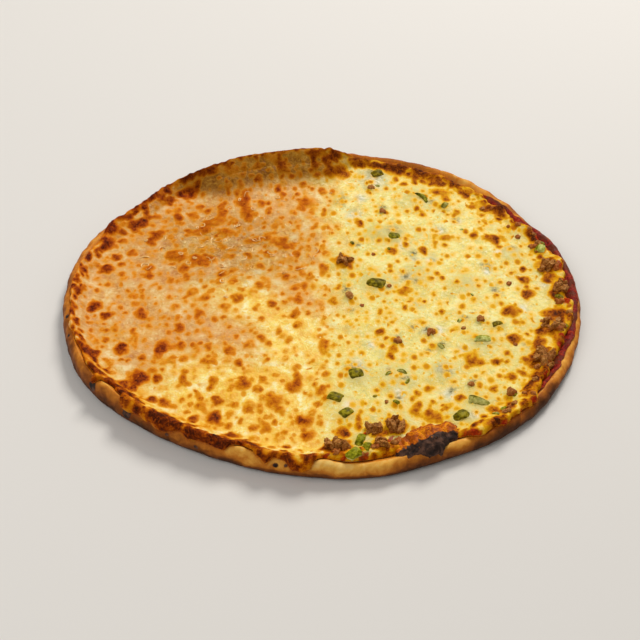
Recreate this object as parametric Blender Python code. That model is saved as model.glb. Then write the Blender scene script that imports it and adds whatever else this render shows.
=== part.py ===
"""A cheese pizza about 12 inches across, on a thin hand-stretched crust.

One half is plain cheese. The other half is cheese over sausage crumbles and
green pepper. Crust, sauce, cheese and each larger topping are separate solids.

Lengths below are millimetres and become metres as each mesh is finished.
Angles are degrees in plan, counted from +X towards +Y. The front of the pizza
is at -Y, and its underside lies on Z = 0.
"""

import functools
import math
from collections import namedtuple

import bmesh
import bpy
from mathutils import Matrix, Vector, noise

MM = 0.001

# The whole pizza: a slightly oval disc
LONG_AXIS = 319.0
SHORT_AXIS = 288.0
AXIS_TURN = 4.0
# Where the edge bulges or draws in: angle, half width in degrees, millimetres
EDGE_BULGES = (
    (21, 6, 1.2),
    (29, 6, -2.5),
    (57, 16, 2.8),
    (148, 10, -5.6),
    (208, 12, 2.8),
    (240, 16, -2.2),
    (281, 12, 2.6),
    (317, 16, 2.6),
    (352, 10, -0.8),
)

# The crust's section: a flat base, a ramp up to the rim's crest, a round wall
BASE = 3.5
RAMP_WIDTH = 10.0
CREST_INSET = 4.6
FOOT_INSET = 3.6
WIDEST_SHARE = 0.45
RIM_HEIGHTS = ((0, 8.6), (30, 9.2), (55, 11), (85, 12), (130, 12), (160, 12),
               (200, 13), (250, 12), (290, 10), (315, 9.2), (345, 8.6))
WALL_WRINKLE = 0.7
WRINKLE_SPAN = 9.0

# The back left stretch of the rim curled up and inwards as it baked
CURL_START = 86.0
CURL_END = 130.0
CURL_EASE = 12.0
CURL_RISE = 8.0
CURL_PULL = 8.0
CURL_EXTRA_RAMP = 15.0
CURL_LIFT = 4.0
# Burnt points along the curl's crest: angle, half width, height
BURNT_POINTS = ((90, 2.6, 1.6), (98, 3, 1.8), (109.5, 3, 1.4))

# The charred blister on the front right of the rim, three lobes run together:
# each lobe's distance along the rim and outwards, then its length, width, height
BLISTER_X = 59.0
BLISTER_Y = -122.5
BLISTER_TURN = 26.0
BLISTER_LOBES = (
    (-12.0, -0.5, 17.0, 17.0, 10.5),
    (0.0, 0.5, 25.0, 20.0, 14.5),
    (12.5, -1.5, 17.0, 15.0, 11.0),
)
BLISTER_ROUGHNESS = 0.16
BLISTER_DETAIL = 4.0
BLISTER_BURIED = 1.0

# Layers on the crust, and the gap between solids that touch
GAP = 0.3
SAUCE_THICKNESS = 0.8
SAUCE_EDGE = 0.25
SAUCE_TAPER = 4.0
SAUCE_SHORT_PLAIN = 5.5
SAUCE_SHORT_OPEN = 1.6
CHEESE_PLAIN = 3.0
CHEESE_TOPPED = 3.8
CHEESE_EDGE = 0.7
CHEESE_ROUND = 5.0
CREST_CLEARANCE = 0.7
CREST_REACH = 3.5
SWELL = 0.7
SWELL_SPAN = 24.0
# How far the cheese stops short of the rim's crest (-) or runs over it (+)
CHEESE_STOP_PLAIN = -0.4
CHEESE_STOP_OPEN = -5.0
OPEN_START = 308.0
OPEN_END = 404.0
OPEN_EASE = 14.0
EDGE_WANDER = 1.6
WANDER_SPAN = 14.0
WANDER_LAYER = 3.0
EDGE_WAVES = (
    (203, 5, 1.5),
    (217.5, 5, -3.5),
    (226, 5, 2.5),
    (233, 4, 2),
    (240, 4, -3),
    (247, 4, 1.5),
    (252.5, 4, -3.5),
    (260, 4.5, 3.5),
    (266.5, 4, 3.5),
    (271.5, 3.5, -4),
    (277.5, 4.5, 3.5),
    (285, 4, -2),
    (300, 8, -3),
)

# The plain half lies left of this line
DIVIDE_X = 4.0
DIVIDE_EASE = 9.0

# Pieces of green pepper: place, size, turn, how much of the thickness is sunk
Pepper = namedtuple("Pepper", "x y length width turn sunk")
PEPPER_THICKNESS = 2.8
PEPPER_BEND = 0.16
PEPPER_TAPER = 0.45
PEPPERS = (
    Pepper(32.4, 9.0, 13.5, 8.0, -12, 0.35),
    Pepper(19.7, -70.5, 9.5, 7.5, 20, 0.40),
    Pepper(7.3, -89.9, 8.5, 7.0, -25, 0.40),
    Pepper(14.5, -102.2, 8.0, 6.5, 35, 0.40),
    Pepper(22.0, -124.8, 9.5, 4.8, 62, 0.25),
    Pepper(18.6, -136.4, 9.0, 6.0, 50, 0.25),
    Pepper(25.6, -130.8, 7.5, 4.6, 62, 0.30),
    Pepper(34.5, 121.0, 9.0, 6.5, 15, 0.40),
    Pepper(64.1, 97.9, 13.5, 3.4, -28, 0.55),
    Pepper(44.6, 55.4, 10.5, 6.0, 10, 0.65),
    Pepper(138.2, 44.6, 8.0, 6.0, 70, 0.40),
    Pepper(96.1, -39.6, 11.0, 5.5, 5, 0.45),
    Pepper(89.9, -91.3, 12.0, 5.5, -20, 0.50),
    Pepper(78.9, -103.3, 12.5, 6.0, 38, 0.50),
)
# A pepper ring half buried in the cheese, of which an arc shows
RING_X = 43.5
RING_Y = -74.0
RING_RADIUS = 6.6
RING_WIDTH = 2.2
RING_HEIGHT = 3.2
RING_FROM = -60.0
RING_TO = 170.0
RING_SUNK = 0.6

# Chunks of sausage: place, length, width, height, turn, how much is sunk
Sausage = namedtuple("Sausage", "x y length width height turn sunk")
SAUSAGES = (
    Sausage(9.4, -130.4, 13.5, 11.5, 8.5, 10, 0.40),
    Sausage(30.4, -116.0, 11.0, 8.0, 6.5, 10, 0.40),
    Sausage(41.3, -111.3, 9.5, 13.5, 8.0, 12, 0.40),
    Sausage(12.4, 29.9, 10.0, 8.0, 6.0, -20, 0.50),
    Sausage(140.0, 29.0, 13.0, 10.5, 6.5, 35, 0.45),
    Sausage(138.6, -26.0, 13.0, 10.5, 6.5, -15, 0.45),
    Sausage(131.0, -54.0, 11.5, 17.0, 6.5, -20, 0.45),
    Sausage(147.6, 8.0, 8.0, 11.0, 5.5, 10, 0.45),
    Sausage(34.2, -127.3, 8.5, 8.0, 6.5, -10, 0.40),
)
CRUMBLE = 0.16
CRUMBLE_DETAIL = 5.0

# Crumbs of sausage and pepper that the cheese holds: place and width
CRUMBS = (
    (30.3, 106.6, 5),
    (79.0, 88.5, 6),
    (37.8, 81.0, 5),
    (105.4, -25.6, 6),
    (44.6, -41.9, 6),
    (42.5, -93.1, 5),
    (86.2, -77.7, 5),
    (15.8, -3.7, 6),
    (95.2, -21.8, 6),
    (64.9, -34.0, 6),
    (70.3, -45.8, 5),
    (134.0, 47.0, 5),
    (108.8, -83.4, 7),
)
CRUMB_SQUASH = (1.0, 0.8, 0.55)
CRUMB_TURN = 40.0

# Lumps where a topping lies wholly under the cheese: place, height, radius
BURIED = ((34.4, 60.1, 1.8, 8), (128.5, 62.8, 1.6, 8), (120.8, 41.6, 1.5, 7),
          (60.0, 20.0, 1.2, 9), (88.0, 12.0, 1.2, 9), (70.0, -66.0, 1.3, 8))
COLLAR = 1.1
COLLAR_REACH = 4.5

# Mesh fineness
STEPS = 92
GRID_RINGS = 23
GRID_EASE = math.radians(72)
SLOPE_STEP = 3.0
SHARP_ANGLE = math.radians(40)

COLOURS = {
    "crust": (0.50, 0.27, 0.10),
    "sauce": (0.33, 0.035, 0.012),
    "cheese": (0.80, 0.60, 0.26),
    "pepper": (0.10, 0.16, 0.025),
    "sausage": (0.17, 0.085, 0.04),
}
ROUGHNESS = {"crust": 0.8, "sauce": 0.25, "cheese": 0.42, "pepper": 0.3, "sausage": 0.5}

Section = namedtuple("Section", "outer height ramp lift sauce")


# ---------------------------------------------------------------- functions of angle

def apart(angle, centre):
    """Degrees from centre to angle, the short way round."""
    return (angle - centre + 180.0) % 360.0 - 180.0


def eased(share):
    """A smooth step from 0 to 1."""
    share = min(max(share, 0.0), 1.0)
    return share * share * (3.0 - 2.0 * share)


def mixed(first, second, share):
    return first + (second - first) * share


def bumps(table, angle):
    """Sum of bell-shaped bumps, each an angle, a half width and a height."""
    return sum(height * math.exp(-(apart(angle, centre) / half) ** 2)
               for centre, half, height in table)


def stretch(angle, start, end, ease):
    """1 between start and end, falling smoothly to 0 outside."""
    middle = (start + end) / 2
    beyond = abs(apart(angle, middle)) - (end - start) / 2
    return 1.0 - eased(beyond / ease + 0.5)


def between(table, angle):
    """A smooth closed curve through a table of angles and values."""
    for index, (start, value) in enumerate(table):
        following, next_value = table[(index + 1) % len(table)]
        span = (following - start) % 360
        along = (angle - start) % 360
        if along < span:
            return mixed(value, next_value, eased(along / span))
    return table[0][1]


def wander(angle, span, layer):
    """Even noise that closes on itself, with bumps about span degrees long."""
    turn = math.radians(angle)
    reach = math.degrees(1.0) / span
    return noise.noise(Vector((math.cos(turn) * reach, math.sin(turn) * reach, layer)))


# ---------------------------------------------------------------- the crust's section

def openness(angle):
    """1 along the right of the rim, where the sauce shows, and 0 elsewhere."""
    return stretch(angle, OPEN_START, OPEN_END, OPEN_EASE)


@functools.cache
def section_of_step(step):
    """Outer radius, crest height, ramp width, lift of the foot, and how far
    short of the crest the sauce ends."""
    angle = step * 360.0 / STEPS
    turn = math.radians(angle - AXIS_TURN)
    oval = 1.0 / math.hypot(2 * math.cos(turn) / LONG_AXIS, 2 * math.sin(turn) / SHORT_AXIS)
    curl = stretch(angle, CURL_START, CURL_END, CURL_EASE)
    outer = oval + bumps(EDGE_BULGES, angle) - CURL_PULL * curl
    height = between(RIM_HEIGHTS, angle) + CURL_RISE * curl + bumps(BURNT_POINTS, angle)
    ramp = RAMP_WIDTH + CURL_EXTRA_RAMP * curl
    sauce = mixed(SAUCE_SHORT_PLAIN, SAUCE_SHORT_OPEN, openness(angle)) + CURL_EXTRA_RAMP * curl / 2
    return Section(outer, height, ramp, CURL_LIFT * curl, sauce)


def section_at(angle):
    """The section at any angle, running straight from step to step."""
    steps = angle % 360.0 * STEPS / 360.0
    before = math.floor(steps)
    pair = zip(section_of_step(before % STEPS), section_of_step((before + 1) % STEPS))
    return Section(*(mixed(first, second, steps - before) for first, second in pair))


def ramp_foot(section):
    return section.outer - CREST_INSET - section.ramp


def ramp_run(section):
    """Length along the ramp, from its foot to the crest."""
    return math.hypot(section.ramp, section.height - BASE)


def crest_run(section):
    """Distance along the top of the section, from the centre to the crest."""
    return ramp_foot(section) + ramp_run(section)


def widest_height(section):
    return section.lift + WIDEST_SHARE * (section.height - section.lift)


def round_run(section):
    """Length of the round, from the crest down to the widest line."""
    drop = section.height - widest_height(section)
    return math.pi / 2 * math.hypot(CREST_INSET, drop) / math.sqrt(2)


def on_section(section, run, lift):
    """Radius and height at a distance along the top, lifted off the crust.

    On the base and ramp a layer is lifted straight up, and beyond the crest
    it is lifted along the round of the wall."""
    foot = ramp_foot(section)
    if run <= foot:
        return run, BASE + lift
    share = (run - foot) / ramp_run(section)
    if share <= 1.0:
        return foot + section.ramp * share, mixed(BASE, section.height, share) + lift
    drop = section.height - widest_height(section)
    turn = min((run - crest_run(section)) / round_run(section), 1.0) * math.pi / 2
    radius = section.outer - CREST_INSET + (CREST_INSET + lift) * math.sin(turn)
    return radius, widest_height(section) + (drop + lift) * math.cos(turn)


def on_wall(section, share):
    """Radius and height on the outer wall, from the widest line to the foot."""
    turn = share * math.pi / 2
    radius = section.outer - FOOT_INSET * (1 - math.cos(turn))
    return radius, mixed(widest_height(section), section.lift, math.sin(turn))


def placed(angle, radius, height):
    turn = math.radians(angle)
    return Vector((radius * math.cos(turn), radius * math.sin(turn), height))


# ---------------------------------------------------------------- sauce and cheese

def sauce_stop(section):
    """Distance along the section where the sauce ends."""
    return crest_run(section) - section.sauce


def sauce_top(beyond):
    """Lift of the sauce's top, by distance beyond the line where it ends."""
    return GAP + SAUCE_EDGE + (SAUCE_THICKNESS - SAUCE_EDGE) * eased(-beyond / SAUCE_TAPER)


def cheese_bottom(section, run):
    """Lift of the cheese's underside, on the sauce and then on the dough."""
    beyond = run - sauce_stop(section)
    over_crest = math.exp(-((run - crest_run(section)) / CREST_REACH) ** 2)
    on_dough = GAP + CREST_CLEARANCE * over_crest
    return mixed(sauce_top(beyond) + GAP, on_dough, eased((beyond - GAP) / GAP))


def cheese_stop(angle, section):
    """Distance along the section where the cheese ends."""
    over = mixed(CHEESE_STOP_PLAIN, CHEESE_STOP_OPEN, openness(angle))
    over += bumps(EDGE_WAVES, angle) + EDGE_WANDER * wander(angle, WANDER_SPAN, WANDER_LAYER)
    return crest_run(section) + over


def collars():
    """Place, height and radius of every rise in the cheese."""
    rises = list(BURIED)
    for piece in PEPPERS + SAUSAGES:
        rises.append((piece.x, piece.y, COLLAR, max(piece.length, piece.width) / 2 + COLLAR_REACH))
    rises.append((RING_X, RING_Y, COLLAR, RING_RADIUS + COLLAR_REACH))
    return rises


RISES = collars()


def cheese_thickness(x, y):
    topped = eased((x - DIVIDE_X) / DIVIDE_EASE + 0.5)
    thickness = mixed(CHEESE_PLAIN, CHEESE_TOPPED, topped)
    thickness += SWELL * noise.noise(Vector((x, y, 0)) / SWELL_SPAN)
    for rise_x, rise_y, height, radius in RISES:
        thickness += height * math.exp(-((x - rise_x) ** 2 + (y - rise_y) ** 2) / radius ** 2)
    return thickness


def cheese_point(angle, section, run):
    """A point on top of the cheese, which rounds off towards its edge."""
    stop = cheese_stop(angle, section)
    radius, _ = on_section(section, run, 0.0)
    flat = placed(angle, radius, 0.0)
    inward = min((stop - run) / CHEESE_ROUND, 1.0)
    rounded = math.sqrt(max(inward * (2.0 - inward), 0.0))
    lift = mixed(CHEESE_EDGE, cheese_thickness(flat.x, flat.y), rounded)
    lift += cheese_bottom(section, run)
    return placed(angle, *on_section(section, run, lift))


def top_at(x, y):
    """Height of the cheese over a place in plan, inside the rim's crest."""
    angle = math.degrees(math.atan2(y, x))
    section = section_at(angle)
    radius = math.hypot(x, y)
    foot = ramp_foot(section)
    run = radius
    if radius > foot:
        run = foot + (radius - foot) / section.ramp * ramp_run(section)
    return cheese_point(angle, section, min(run, cheese_stop(angle, section) - CHEESE_EDGE)).z


def resting(x, y, turn, depth):
    """Where a topping lies: level with the cheese, and sunk into it by depth."""
    slope_x = (top_at(x + SLOPE_STEP, y) - top_at(x - SLOPE_STEP, y)) / (2 * SLOPE_STEP)
    slope_y = (top_at(x, y + SLOPE_STEP) - top_at(x, y - SLOPE_STEP)) / (2 * SLOPE_STEP)
    upright = Vector((-slope_x, -slope_y, 1.0)).normalized()
    leaning = Vector((0, 0, 1)).rotation_difference(upright).to_matrix().to_4x4()
    spot = Vector((x, y, top_at(x, y))) - depth * upright
    return Matrix.Translation(spot) @ leaning @ Matrix.Rotation(math.radians(turn), 4, "Z")


# ---------------------------------------------------------------- making meshes

def clear_scene():
    for item in list(bpy.data.objects):
        bpy.data.objects.remove(item)


def make_collection(name):
    collection = bpy.data.collections.new(name)
    bpy.context.scene.collection.children.link(collection)
    return collection


def make_material(name):
    material = bpy.data.materials.new(name)
    material.use_nodes = True
    shader = material.node_tree.nodes["Principled BSDF"]
    shader.inputs["Base Color"].default_value = (*COLOURS[name], 1.0)
    shader.inputs["Roughness"].default_value = ROUGHNESS[name]
    shader.inputs["Metallic"].default_value = 0.0
    return material


def finish(name, shape, collection, material=None):
    """Turn a shape in millimetres into an object in metres."""
    bmesh.ops.recalc_face_normals(shape, faces=shape.faces)
    bmesh.ops.triangulate(shape, faces=shape.faces)
    if shape.calc_volume(signed=True) < 0:
        bmesh.ops.reverse_faces(shape, faces=shape.faces)
    bmesh.ops.scale(shape, vec=(MM, MM, MM), verts=shape.verts)
    mesh = bpy.data.meshes.new(name)
    shape.to_mesh(mesh)
    shape.free()
    mesh.shade_smooth()
    mesh.set_sharp_from_angle(angle=SHARP_ANGLE)
    item = bpy.data.objects.new(name, mesh)
    collection.objects.link(item)
    if material:
        mesh.materials.append(material)
    return item


def angle_of(vertex):
    return math.degrees(math.atan2(vertex.co.y, vertex.co.x))


def grow(shape, place, thin_out=False):
    """Extrude the open edge to a new ring, each vertex placed by its angle.

    Thinning out welds every other vertex of the new ring to the next one."""
    edges = [edge for edge in shape.edges if edge.is_boundary]
    made = bmesh.ops.extrude_edge_only(shape, edges=edges)["geom"]
    ring = [item for item in made if isinstance(item, bmesh.types.BMVert)]
    ring.sort(key=lambda vertex: angle_of(vertex) % 360)
    targets = {}
    for index, vertex in enumerate(ring):
        vertex.co = place(angle_of(vertex))
        if index % 2:
            targets[vertex] = ring[(index + 1) % len(ring)]
    if thin_out:
        bmesh.ops.weld_verts(shape, targetmap=targets)


def close(shape):
    """Fill the open edge with one flat face."""
    edges = [edge for edge in shape.edges if edge.is_boundary]
    bmesh.ops.holes_fill(shape, edges=edges, sides=0)


def disc(place):
    """A flat many-sided face, with each corner placed by its angle."""
    shape = bmesh.new()
    bmesh.ops.create_circle(shape, cap_ends=True, segments=STEPS, radius=1.0)
    for vertex in shape.verts:
        vertex.co = place(angle_of(vertex))
    return shape


def joined(item, others, operation):
    """Apply one Boolean of item with a whole collection."""
    change = item.modifiers.new(operation.title(), "BOOLEAN")
    change.operation = operation
    change.operand_type = "COLLECTION"
    change.collection = others
    change.solver = "EXACT"
    graph = bpy.context.evaluated_depsgraph_get()
    result = bpy.data.meshes.new_from_object(item.evaluated_get(graph), depsgraph=graph)
    item.modifiers.clear()
    shape = bmesh.new()
    shape.from_mesh(result)
    bmesh.ops.triangulate(shape, faces=shape.faces)
    shape.to_mesh(item.data)
    shape.free()
    bpy.data.meshes.remove(result)


def remove_all(collection):
    for item in list(collection.objects):
        bpy.data.objects.remove(item)
    bpy.data.collections.remove(collection)


# ---------------------------------------------------------------- the layers

def crust_top(run_of):
    """Place a ring of the crust's top, at a distance given by its section."""
    def place(angle):
        section = section_at(angle)
        return placed(angle, *on_section(section, run_of(section), 0.0))
    return place


def crust_wall(share):
    def place(angle):
        radius, height = on_wall(section_at(angle), share)
        wrinkle = WALL_WRINKLE * share * wander(angle, WRINKLE_SPAN, share)
        return placed(angle, radius + wrinkle, height)
    return place


def make_crust(collection, material):
    shape = disc(crust_top(ramp_foot))
    grow(shape, crust_top(crest_run))
    thirds = (1 / 3, 2 / 3, 1)
    for share in thirds:
        grow(shape, crust_top(lambda section: crest_run(section) + share * round_run(section)))
    for share in thirds:
        grow(shape, crust_wall(share))
    grow(shape, lambda angle: placed(angle, ramp_foot(section_at(angle)), 0.0))
    close(shape)
    return finish("crust", shape, collection, material)


def make_blister(name, collection, margin):
    """Lumpy domes of dough that puffed up and charred, one for each lobe."""
    rim_line = Matrix.Translation((BLISTER_X, BLISTER_Y, BASE - BLISTER_BURIED))
    rim_line @= Matrix.Rotation(math.radians(BLISTER_TURN), 4, "Z")
    for number, (along, out, length, width, height) in enumerate(BLISTER_LOBES, start=1):
        shape = bmesh.new()
        bmesh.ops.create_icosphere(shape, subdivisions=2, radius=0.5)
        for vertex in shape.verts:
            place = vertex.co * BLISTER_DETAIL + Vector((0, 0, number))
            ripple = 1.0 + BLISTER_ROUGHNESS * noise.noise(place)
            vertex.co.x *= length * ripple + 2 * margin
            vertex.co.y *= width * ripple + 2 * margin
            vertex.co.z *= height * ripple + 2 * margin
        shape.transform(rim_line @ Matrix.Translation((along, -out, height / 2)))
        finish(f"{name}_{number}", shape, collection)


def make_sauce(collection, material):
    """A thin layer under all of the cheese, open to view along the right rim."""
    def ring(back, lift):
        def place(angle):
            section = section_at(angle)
            run = sauce_stop(section) - back
            return placed(angle, *on_section(section, run, lift))
        return place

    def at_foot(lift):
        def place(angle):
            section = section_at(angle)
            return placed(angle, *on_section(section, ramp_foot(section), lift))
        return place

    shape = disc(at_foot(GAP))
    grow(shape, ring(0.0, GAP))
    grow(shape, ring(0.0, sauce_top(0.0)))
    grow(shape, ring(SAUCE_TAPER, sauce_top(-SAUCE_TAPER)))
    grow(shape, at_foot(sauce_top(-SAUCE_TAPER)))
    close(shape)
    return finish("sauce", shape, collection, material)


def cheese_under(run_of, order):
    """Place a ring of the underside, kept inside the cheese's own edge."""
    def place(angle):
        section = section_at(angle)
        stop = cheese_stop(angle, section)
        run = min(run_of(angle, section), stop - order * GAP)
        return placed(angle, *on_section(section, run, cheese_bottom(section, run)))
    return place


def on_disc(a, b):
    """Share of the way to the edge, and angle, of a point of a square grid."""
    if a == 0 and b == 0:
        return 0.0, 0.0
    if abs(a) >= abs(b):
        return abs(a), 45.0 * b / a + (180.0 if a < 0 else 0.0)
    return abs(b), 90.0 - 45.0 * a / b + (180.0 if b < 0 else 0.0)


def make_cheese(collection, material):
    shape = bmesh.new()
    bmesh.ops.create_grid(shape, x_segments=2 * GRID_RINGS, y_segments=2 * GRID_RINGS, size=1.0)
    for vertex in shape.verts:
        share, angle = on_disc(round(vertex.co.x * GRID_RINGS), round(vertex.co.y * GRID_RINGS))
        section = section_at(angle)
        outward = math.sin(GRID_EASE * share / GRID_RINGS) / math.sin(GRID_EASE)
        vertex.co = cheese_point(angle, section, cheese_stop(angle, section) * outward)

    def over_crest(share):
        def run_of(angle, section):
            crest = crest_run(section)
            return crest + max(cheese_stop(angle, section) - crest, 0.0) * share
        return run_of

    def past_sauce(distance):
        return lambda angle, section: sauce_stop(section) + distance

    grow(shape, cheese_under(cheese_stop, 0))
    grow(shape, cheese_under(over_crest(0.5), 1))
    grow(shape, cheese_under(over_crest(0.0), 2))
    grow(shape, cheese_under(past_sauce(GAP), 3))
    grow(shape, cheese_under(past_sauce(-SAUCE_TAPER), 4), thin_out=True)
    grow(shape, cheese_under(lambda _, section: ramp_foot(section), 5))
    close(shape)
    return finish("cheese", shape, collection, material)


# ---------------------------------------------------------------- the toppings

def long_bar(cuts):
    """A unit bar along X, cut across so that it can bend."""
    shape = bmesh.new()
    bmesh.ops.create_cube(shape, size=1.0)
    along = [edge for edge in shape.edges
             if abs(edge.verts[0].co.x - edge.verts[1].co.x) > 0.5]
    bmesh.ops.subdivide_edges(shape, edges=along, cuts=cuts, use_grid_fill=True)
    return shape


def pepper_slab(piece, margin):
    """A diced piece of pepper wall: a thick slab, bowed over its length."""
    shape = long_bar(3)
    for vertex in shape.verts:
        along = 2 * vertex.co.x
        taper = 1.0 - PEPPER_TAPER * along ** 4
        vertex.co.x *= piece.length + 2 * margin
        vertex.co.y *= piece.width * taper + 2 * margin
        vertex.co.z *= PEPPER_THICKNESS * taper + 2 * margin
        vertex.co.z += PEPPER_BEND * piece.length * (0.5 - along * along)
    return shape


def pepper_arc(margin):
    """The part of a pepper ring that stands out of the cheese."""
    shape = long_bar(8)
    spare = math.degrees(margin / RING_RADIUS)
    for vertex in shape.verts:
        angle = mixed(RING_FROM - spare, RING_TO + spare, vertex.co.x + 0.5)
        radius = RING_RADIUS + vertex.co.y * (RING_WIDTH + 2 * margin)
        vertex.co = placed(angle, radius, vertex.co.z * (RING_HEIGHT + 2 * margin))
    return shape


def sausage_chunk(piece, number, margin):
    """A crumbled chunk of sausage, uneven all over."""
    shape = bmesh.new()
    bmesh.ops.create_icosphere(shape, subdivisions=2, radius=0.5)
    size = Vector((piece.length, piece.width, piece.height))
    for vertex in shape.verts:
        place = vertex.co * CRUMBLE_DETAIL + Vector((0, 0, number))
        uneven = 1.0 + CRUMBLE * noise.noise(place)
        vertex.co = Vector(vertex.co[i] * (size[i] * uneven + 2 * margin) for i in range(3))
    return shape


def add_topping(name, make_shape, spot, collection, cutters, material):
    """A topping, and an enlarged copy of it that will cut its pocket."""
    copies = (("", 0.0, collection, material), ("pocket_", GAP, cutters, None))
    for prefix, margin, target, look in copies:
        shape = make_shape(margin)
        shape.transform(spot)
        finish(prefix + name, shape, target, look)


def make_peppers(collection, cutters, material):
    for number, piece in enumerate(PEPPERS, start=1):
        depth = (piece.sunk - 0.5) * PEPPER_THICKNESS
        spot = resting(piece.x, piece.y, piece.turn, depth)
        add_topping(f"pepper_{number:02d}", lambda margin: pepper_slab(piece, margin),
                    spot, collection, cutters, material)
    spot = resting(RING_X, RING_Y, 0.0, (RING_SUNK - 0.5) * RING_HEIGHT)
    add_topping("pepper_ring", pepper_arc, spot, collection, cutters, material)


def make_sausages(collection, cutters, material):
    for number, piece in enumerate(SAUSAGES, start=1):
        spot = resting(piece.x, piece.y, piece.turn, (piece.sunk - 0.5) * piece.height)
        add_topping(f"sausage_{number:02d}", lambda margin: sausage_chunk(piece, number, margin),
                    spot, collection, cutters, material)


def make_crumbs(collection):
    """Small crumbs that the cheese holds, ready to be joined to it."""
    for number, (x, y, width) in enumerate(CRUMBS, start=1):
        shape = bmesh.new()
        bmesh.ops.create_icosphere(shape, subdivisions=1, radius=0.5 * width)
        bmesh.ops.scale(shape, vec=CRUMB_SQUASH, verts=shape.verts)
        shape.transform(resting(x, y, CRUMB_TURN * number, 0.0))
        finish(f"crumb_{number:02d}", shape, collection)


def centre(collection):
    """Slide every piece so that the middle of the whole lies over the origin."""
    meshes = [item.data for item in collection.objects]
    for axis in range(2):
        places = [vertex.co[axis] for mesh in meshes for vertex in mesh.vertices]
        slide = Vector((0.0, 0.0, 0.0))
        slide[axis] = -(min(places) + max(places)) / 2
        for mesh in meshes:
            mesh.transform(Matrix.Translation(slide))


def make_pizza():
    clear_scene()
    pizza = make_collection("cheese_pizza")
    cutters = make_collection("pockets")
    materials = {name: make_material(name) for name in COLOURS}

    crust = make_crust(pizza, materials["crust"])
    blister = make_collection("blister")
    make_blister("lobe", blister, 0.0)
    joined(crust, blister, "UNION")
    remove_all(blister)

    sauce = make_sauce(pizza, materials["sauce"])
    cheese = make_cheese(pizza, materials["cheese"])
    crumbs = make_collection("crumbs")
    make_crumbs(crumbs)
    joined(cheese, crumbs, "UNION")
    remove_all(crumbs)

    make_peppers(pizza, cutters, materials["pepper"])
    make_sausages(pizza, cutters, materials["sausage"])
    make_blister("pocket_lobe", cutters, GAP)
    joined(cheese, cutters, "DIFFERENCE")
    joined(sauce, cutters, "DIFFERENCE")
    remove_all(cutters)
    centre(pizza)


make_pizza()
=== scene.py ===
"""A cheese pizza about 12 inches across, half plain and half with sausage and pepper.

Lengths are millimetres in the pizza's own frame, and become metres in the part's
frame as each mesh is made. Angles are degrees in plan, from +X towards +Y. The
front of the pizza is at -Y and its underside lies on Z = 0.
"""

import itertools
import math
from collections import namedtuple

import bmesh
import bpy
import numpy as np
from mathutils import Matrix, Vector


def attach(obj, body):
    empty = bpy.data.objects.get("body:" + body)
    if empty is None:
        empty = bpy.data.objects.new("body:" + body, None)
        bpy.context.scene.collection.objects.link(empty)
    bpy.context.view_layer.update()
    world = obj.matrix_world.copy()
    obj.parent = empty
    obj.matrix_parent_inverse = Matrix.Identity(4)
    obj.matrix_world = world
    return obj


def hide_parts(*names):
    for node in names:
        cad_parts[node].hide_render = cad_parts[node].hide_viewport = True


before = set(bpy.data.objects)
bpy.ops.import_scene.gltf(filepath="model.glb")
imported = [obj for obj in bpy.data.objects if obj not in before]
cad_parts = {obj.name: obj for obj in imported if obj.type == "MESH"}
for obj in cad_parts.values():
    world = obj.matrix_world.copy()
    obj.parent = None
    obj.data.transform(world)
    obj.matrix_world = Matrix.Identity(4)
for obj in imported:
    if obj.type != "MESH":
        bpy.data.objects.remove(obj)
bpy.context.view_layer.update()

MM = 0.001
SLIDE = np.array([0.21, 1.35, 0.0])

# The disc's outline. Bulges, points and lobes are each an angle, a half width and a height
LONG_AXIS = 319.0
SHORT_AXIS = 288.0
AXIS_TURN = 4.0
EDGE_BULGES = (
    (21, 6, 1.2), (29, 6, -2.5), (57, 16, 2.8), (148, 10, -5.6), (208, 12, 2.8), (240, 16, -2.2),
    (281, 12, 2.6), (317, 16, 2.6), (352, 10, -0.8),
)

# The crust's section
BASE = 3.5
RAMP_WIDTH = 10.0
CREST_INSET = 4.6
FOOT_INSET = 3.6
WIDEST_SHARE = 0.45
RIM_HEIGHTS = ((0, 8.6), (30, 9.2), (55, 11), (85, 12), (130, 12), (160, 12),
               (200, 13), (250, 12), (290, 10), (315, 9.2), (345, 8.6))
CURL_START = 86.0
CURL_END = 130.0
CURL_EASE = 12.0
CURL_RISE = 8.0
CURL_PULL = 8.0
CURL_EXTRA_RAMP = 15.0
CURL_LIFT = 4.0
BURNT_POINTS = ((90, 2.6, 0.9), (98, 3, 0.9), (109.5, 3, 0.6), (108.1, 1.1, 0.8),
                (97.6, 0.9, 0.8), (92.9, 0.8, 0.9), (88.8, 0.8, 1.1), (90.8, 0.6, -1.2))
DOUGH_LOBES = ((203, 4, 0.6), (215.7, 2.4, 1.5), (239, 3, 0.6), (251.8, 2.6, 1.6),
               (270.8, 2.4, 1.8), (284, 4, 0.6), (293, 4, 0.8), (330, 7, 0.7))
LOBE_SPAN = 7.0
LOBE_RISE = 0.5

# Dents in the dough: depth, size
RIM_DENTS = ((0.7, 11.0), (0.32, 4.6), (0.1, 1.7))

# The charred blister: how far along, how far out, length, width and height of its lobes
BLISTER_X = 59.0
BLISTER_Y = -122.5
BLISTER_TURN = 26.0
BLISTER_LOBES = (
    (-12.0, -0.5, 17.0, 17.0, 10.5),
    (0.0, 0.5, 25.0, 20.0, 14.5),
    (12.5, -1.5, 17.0, 15.0, 11.0),
)
BLISTER_BURIED = 1.0
# Where the rim is speckled with char: angle, distance over the crest, size
CHAR_SPECKS = ((191.2, 2.6, 1.5), (196.8, 3.6, 1.4), (213.0, 6.6, 2.9), (223.8, 7.4, 3.1),
               (234.5, 7.5, 0.9), (241.8, 7.6, 1.2), (260.2, 5.8, 1.4), (262.5, 5.1, 0.9))
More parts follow.
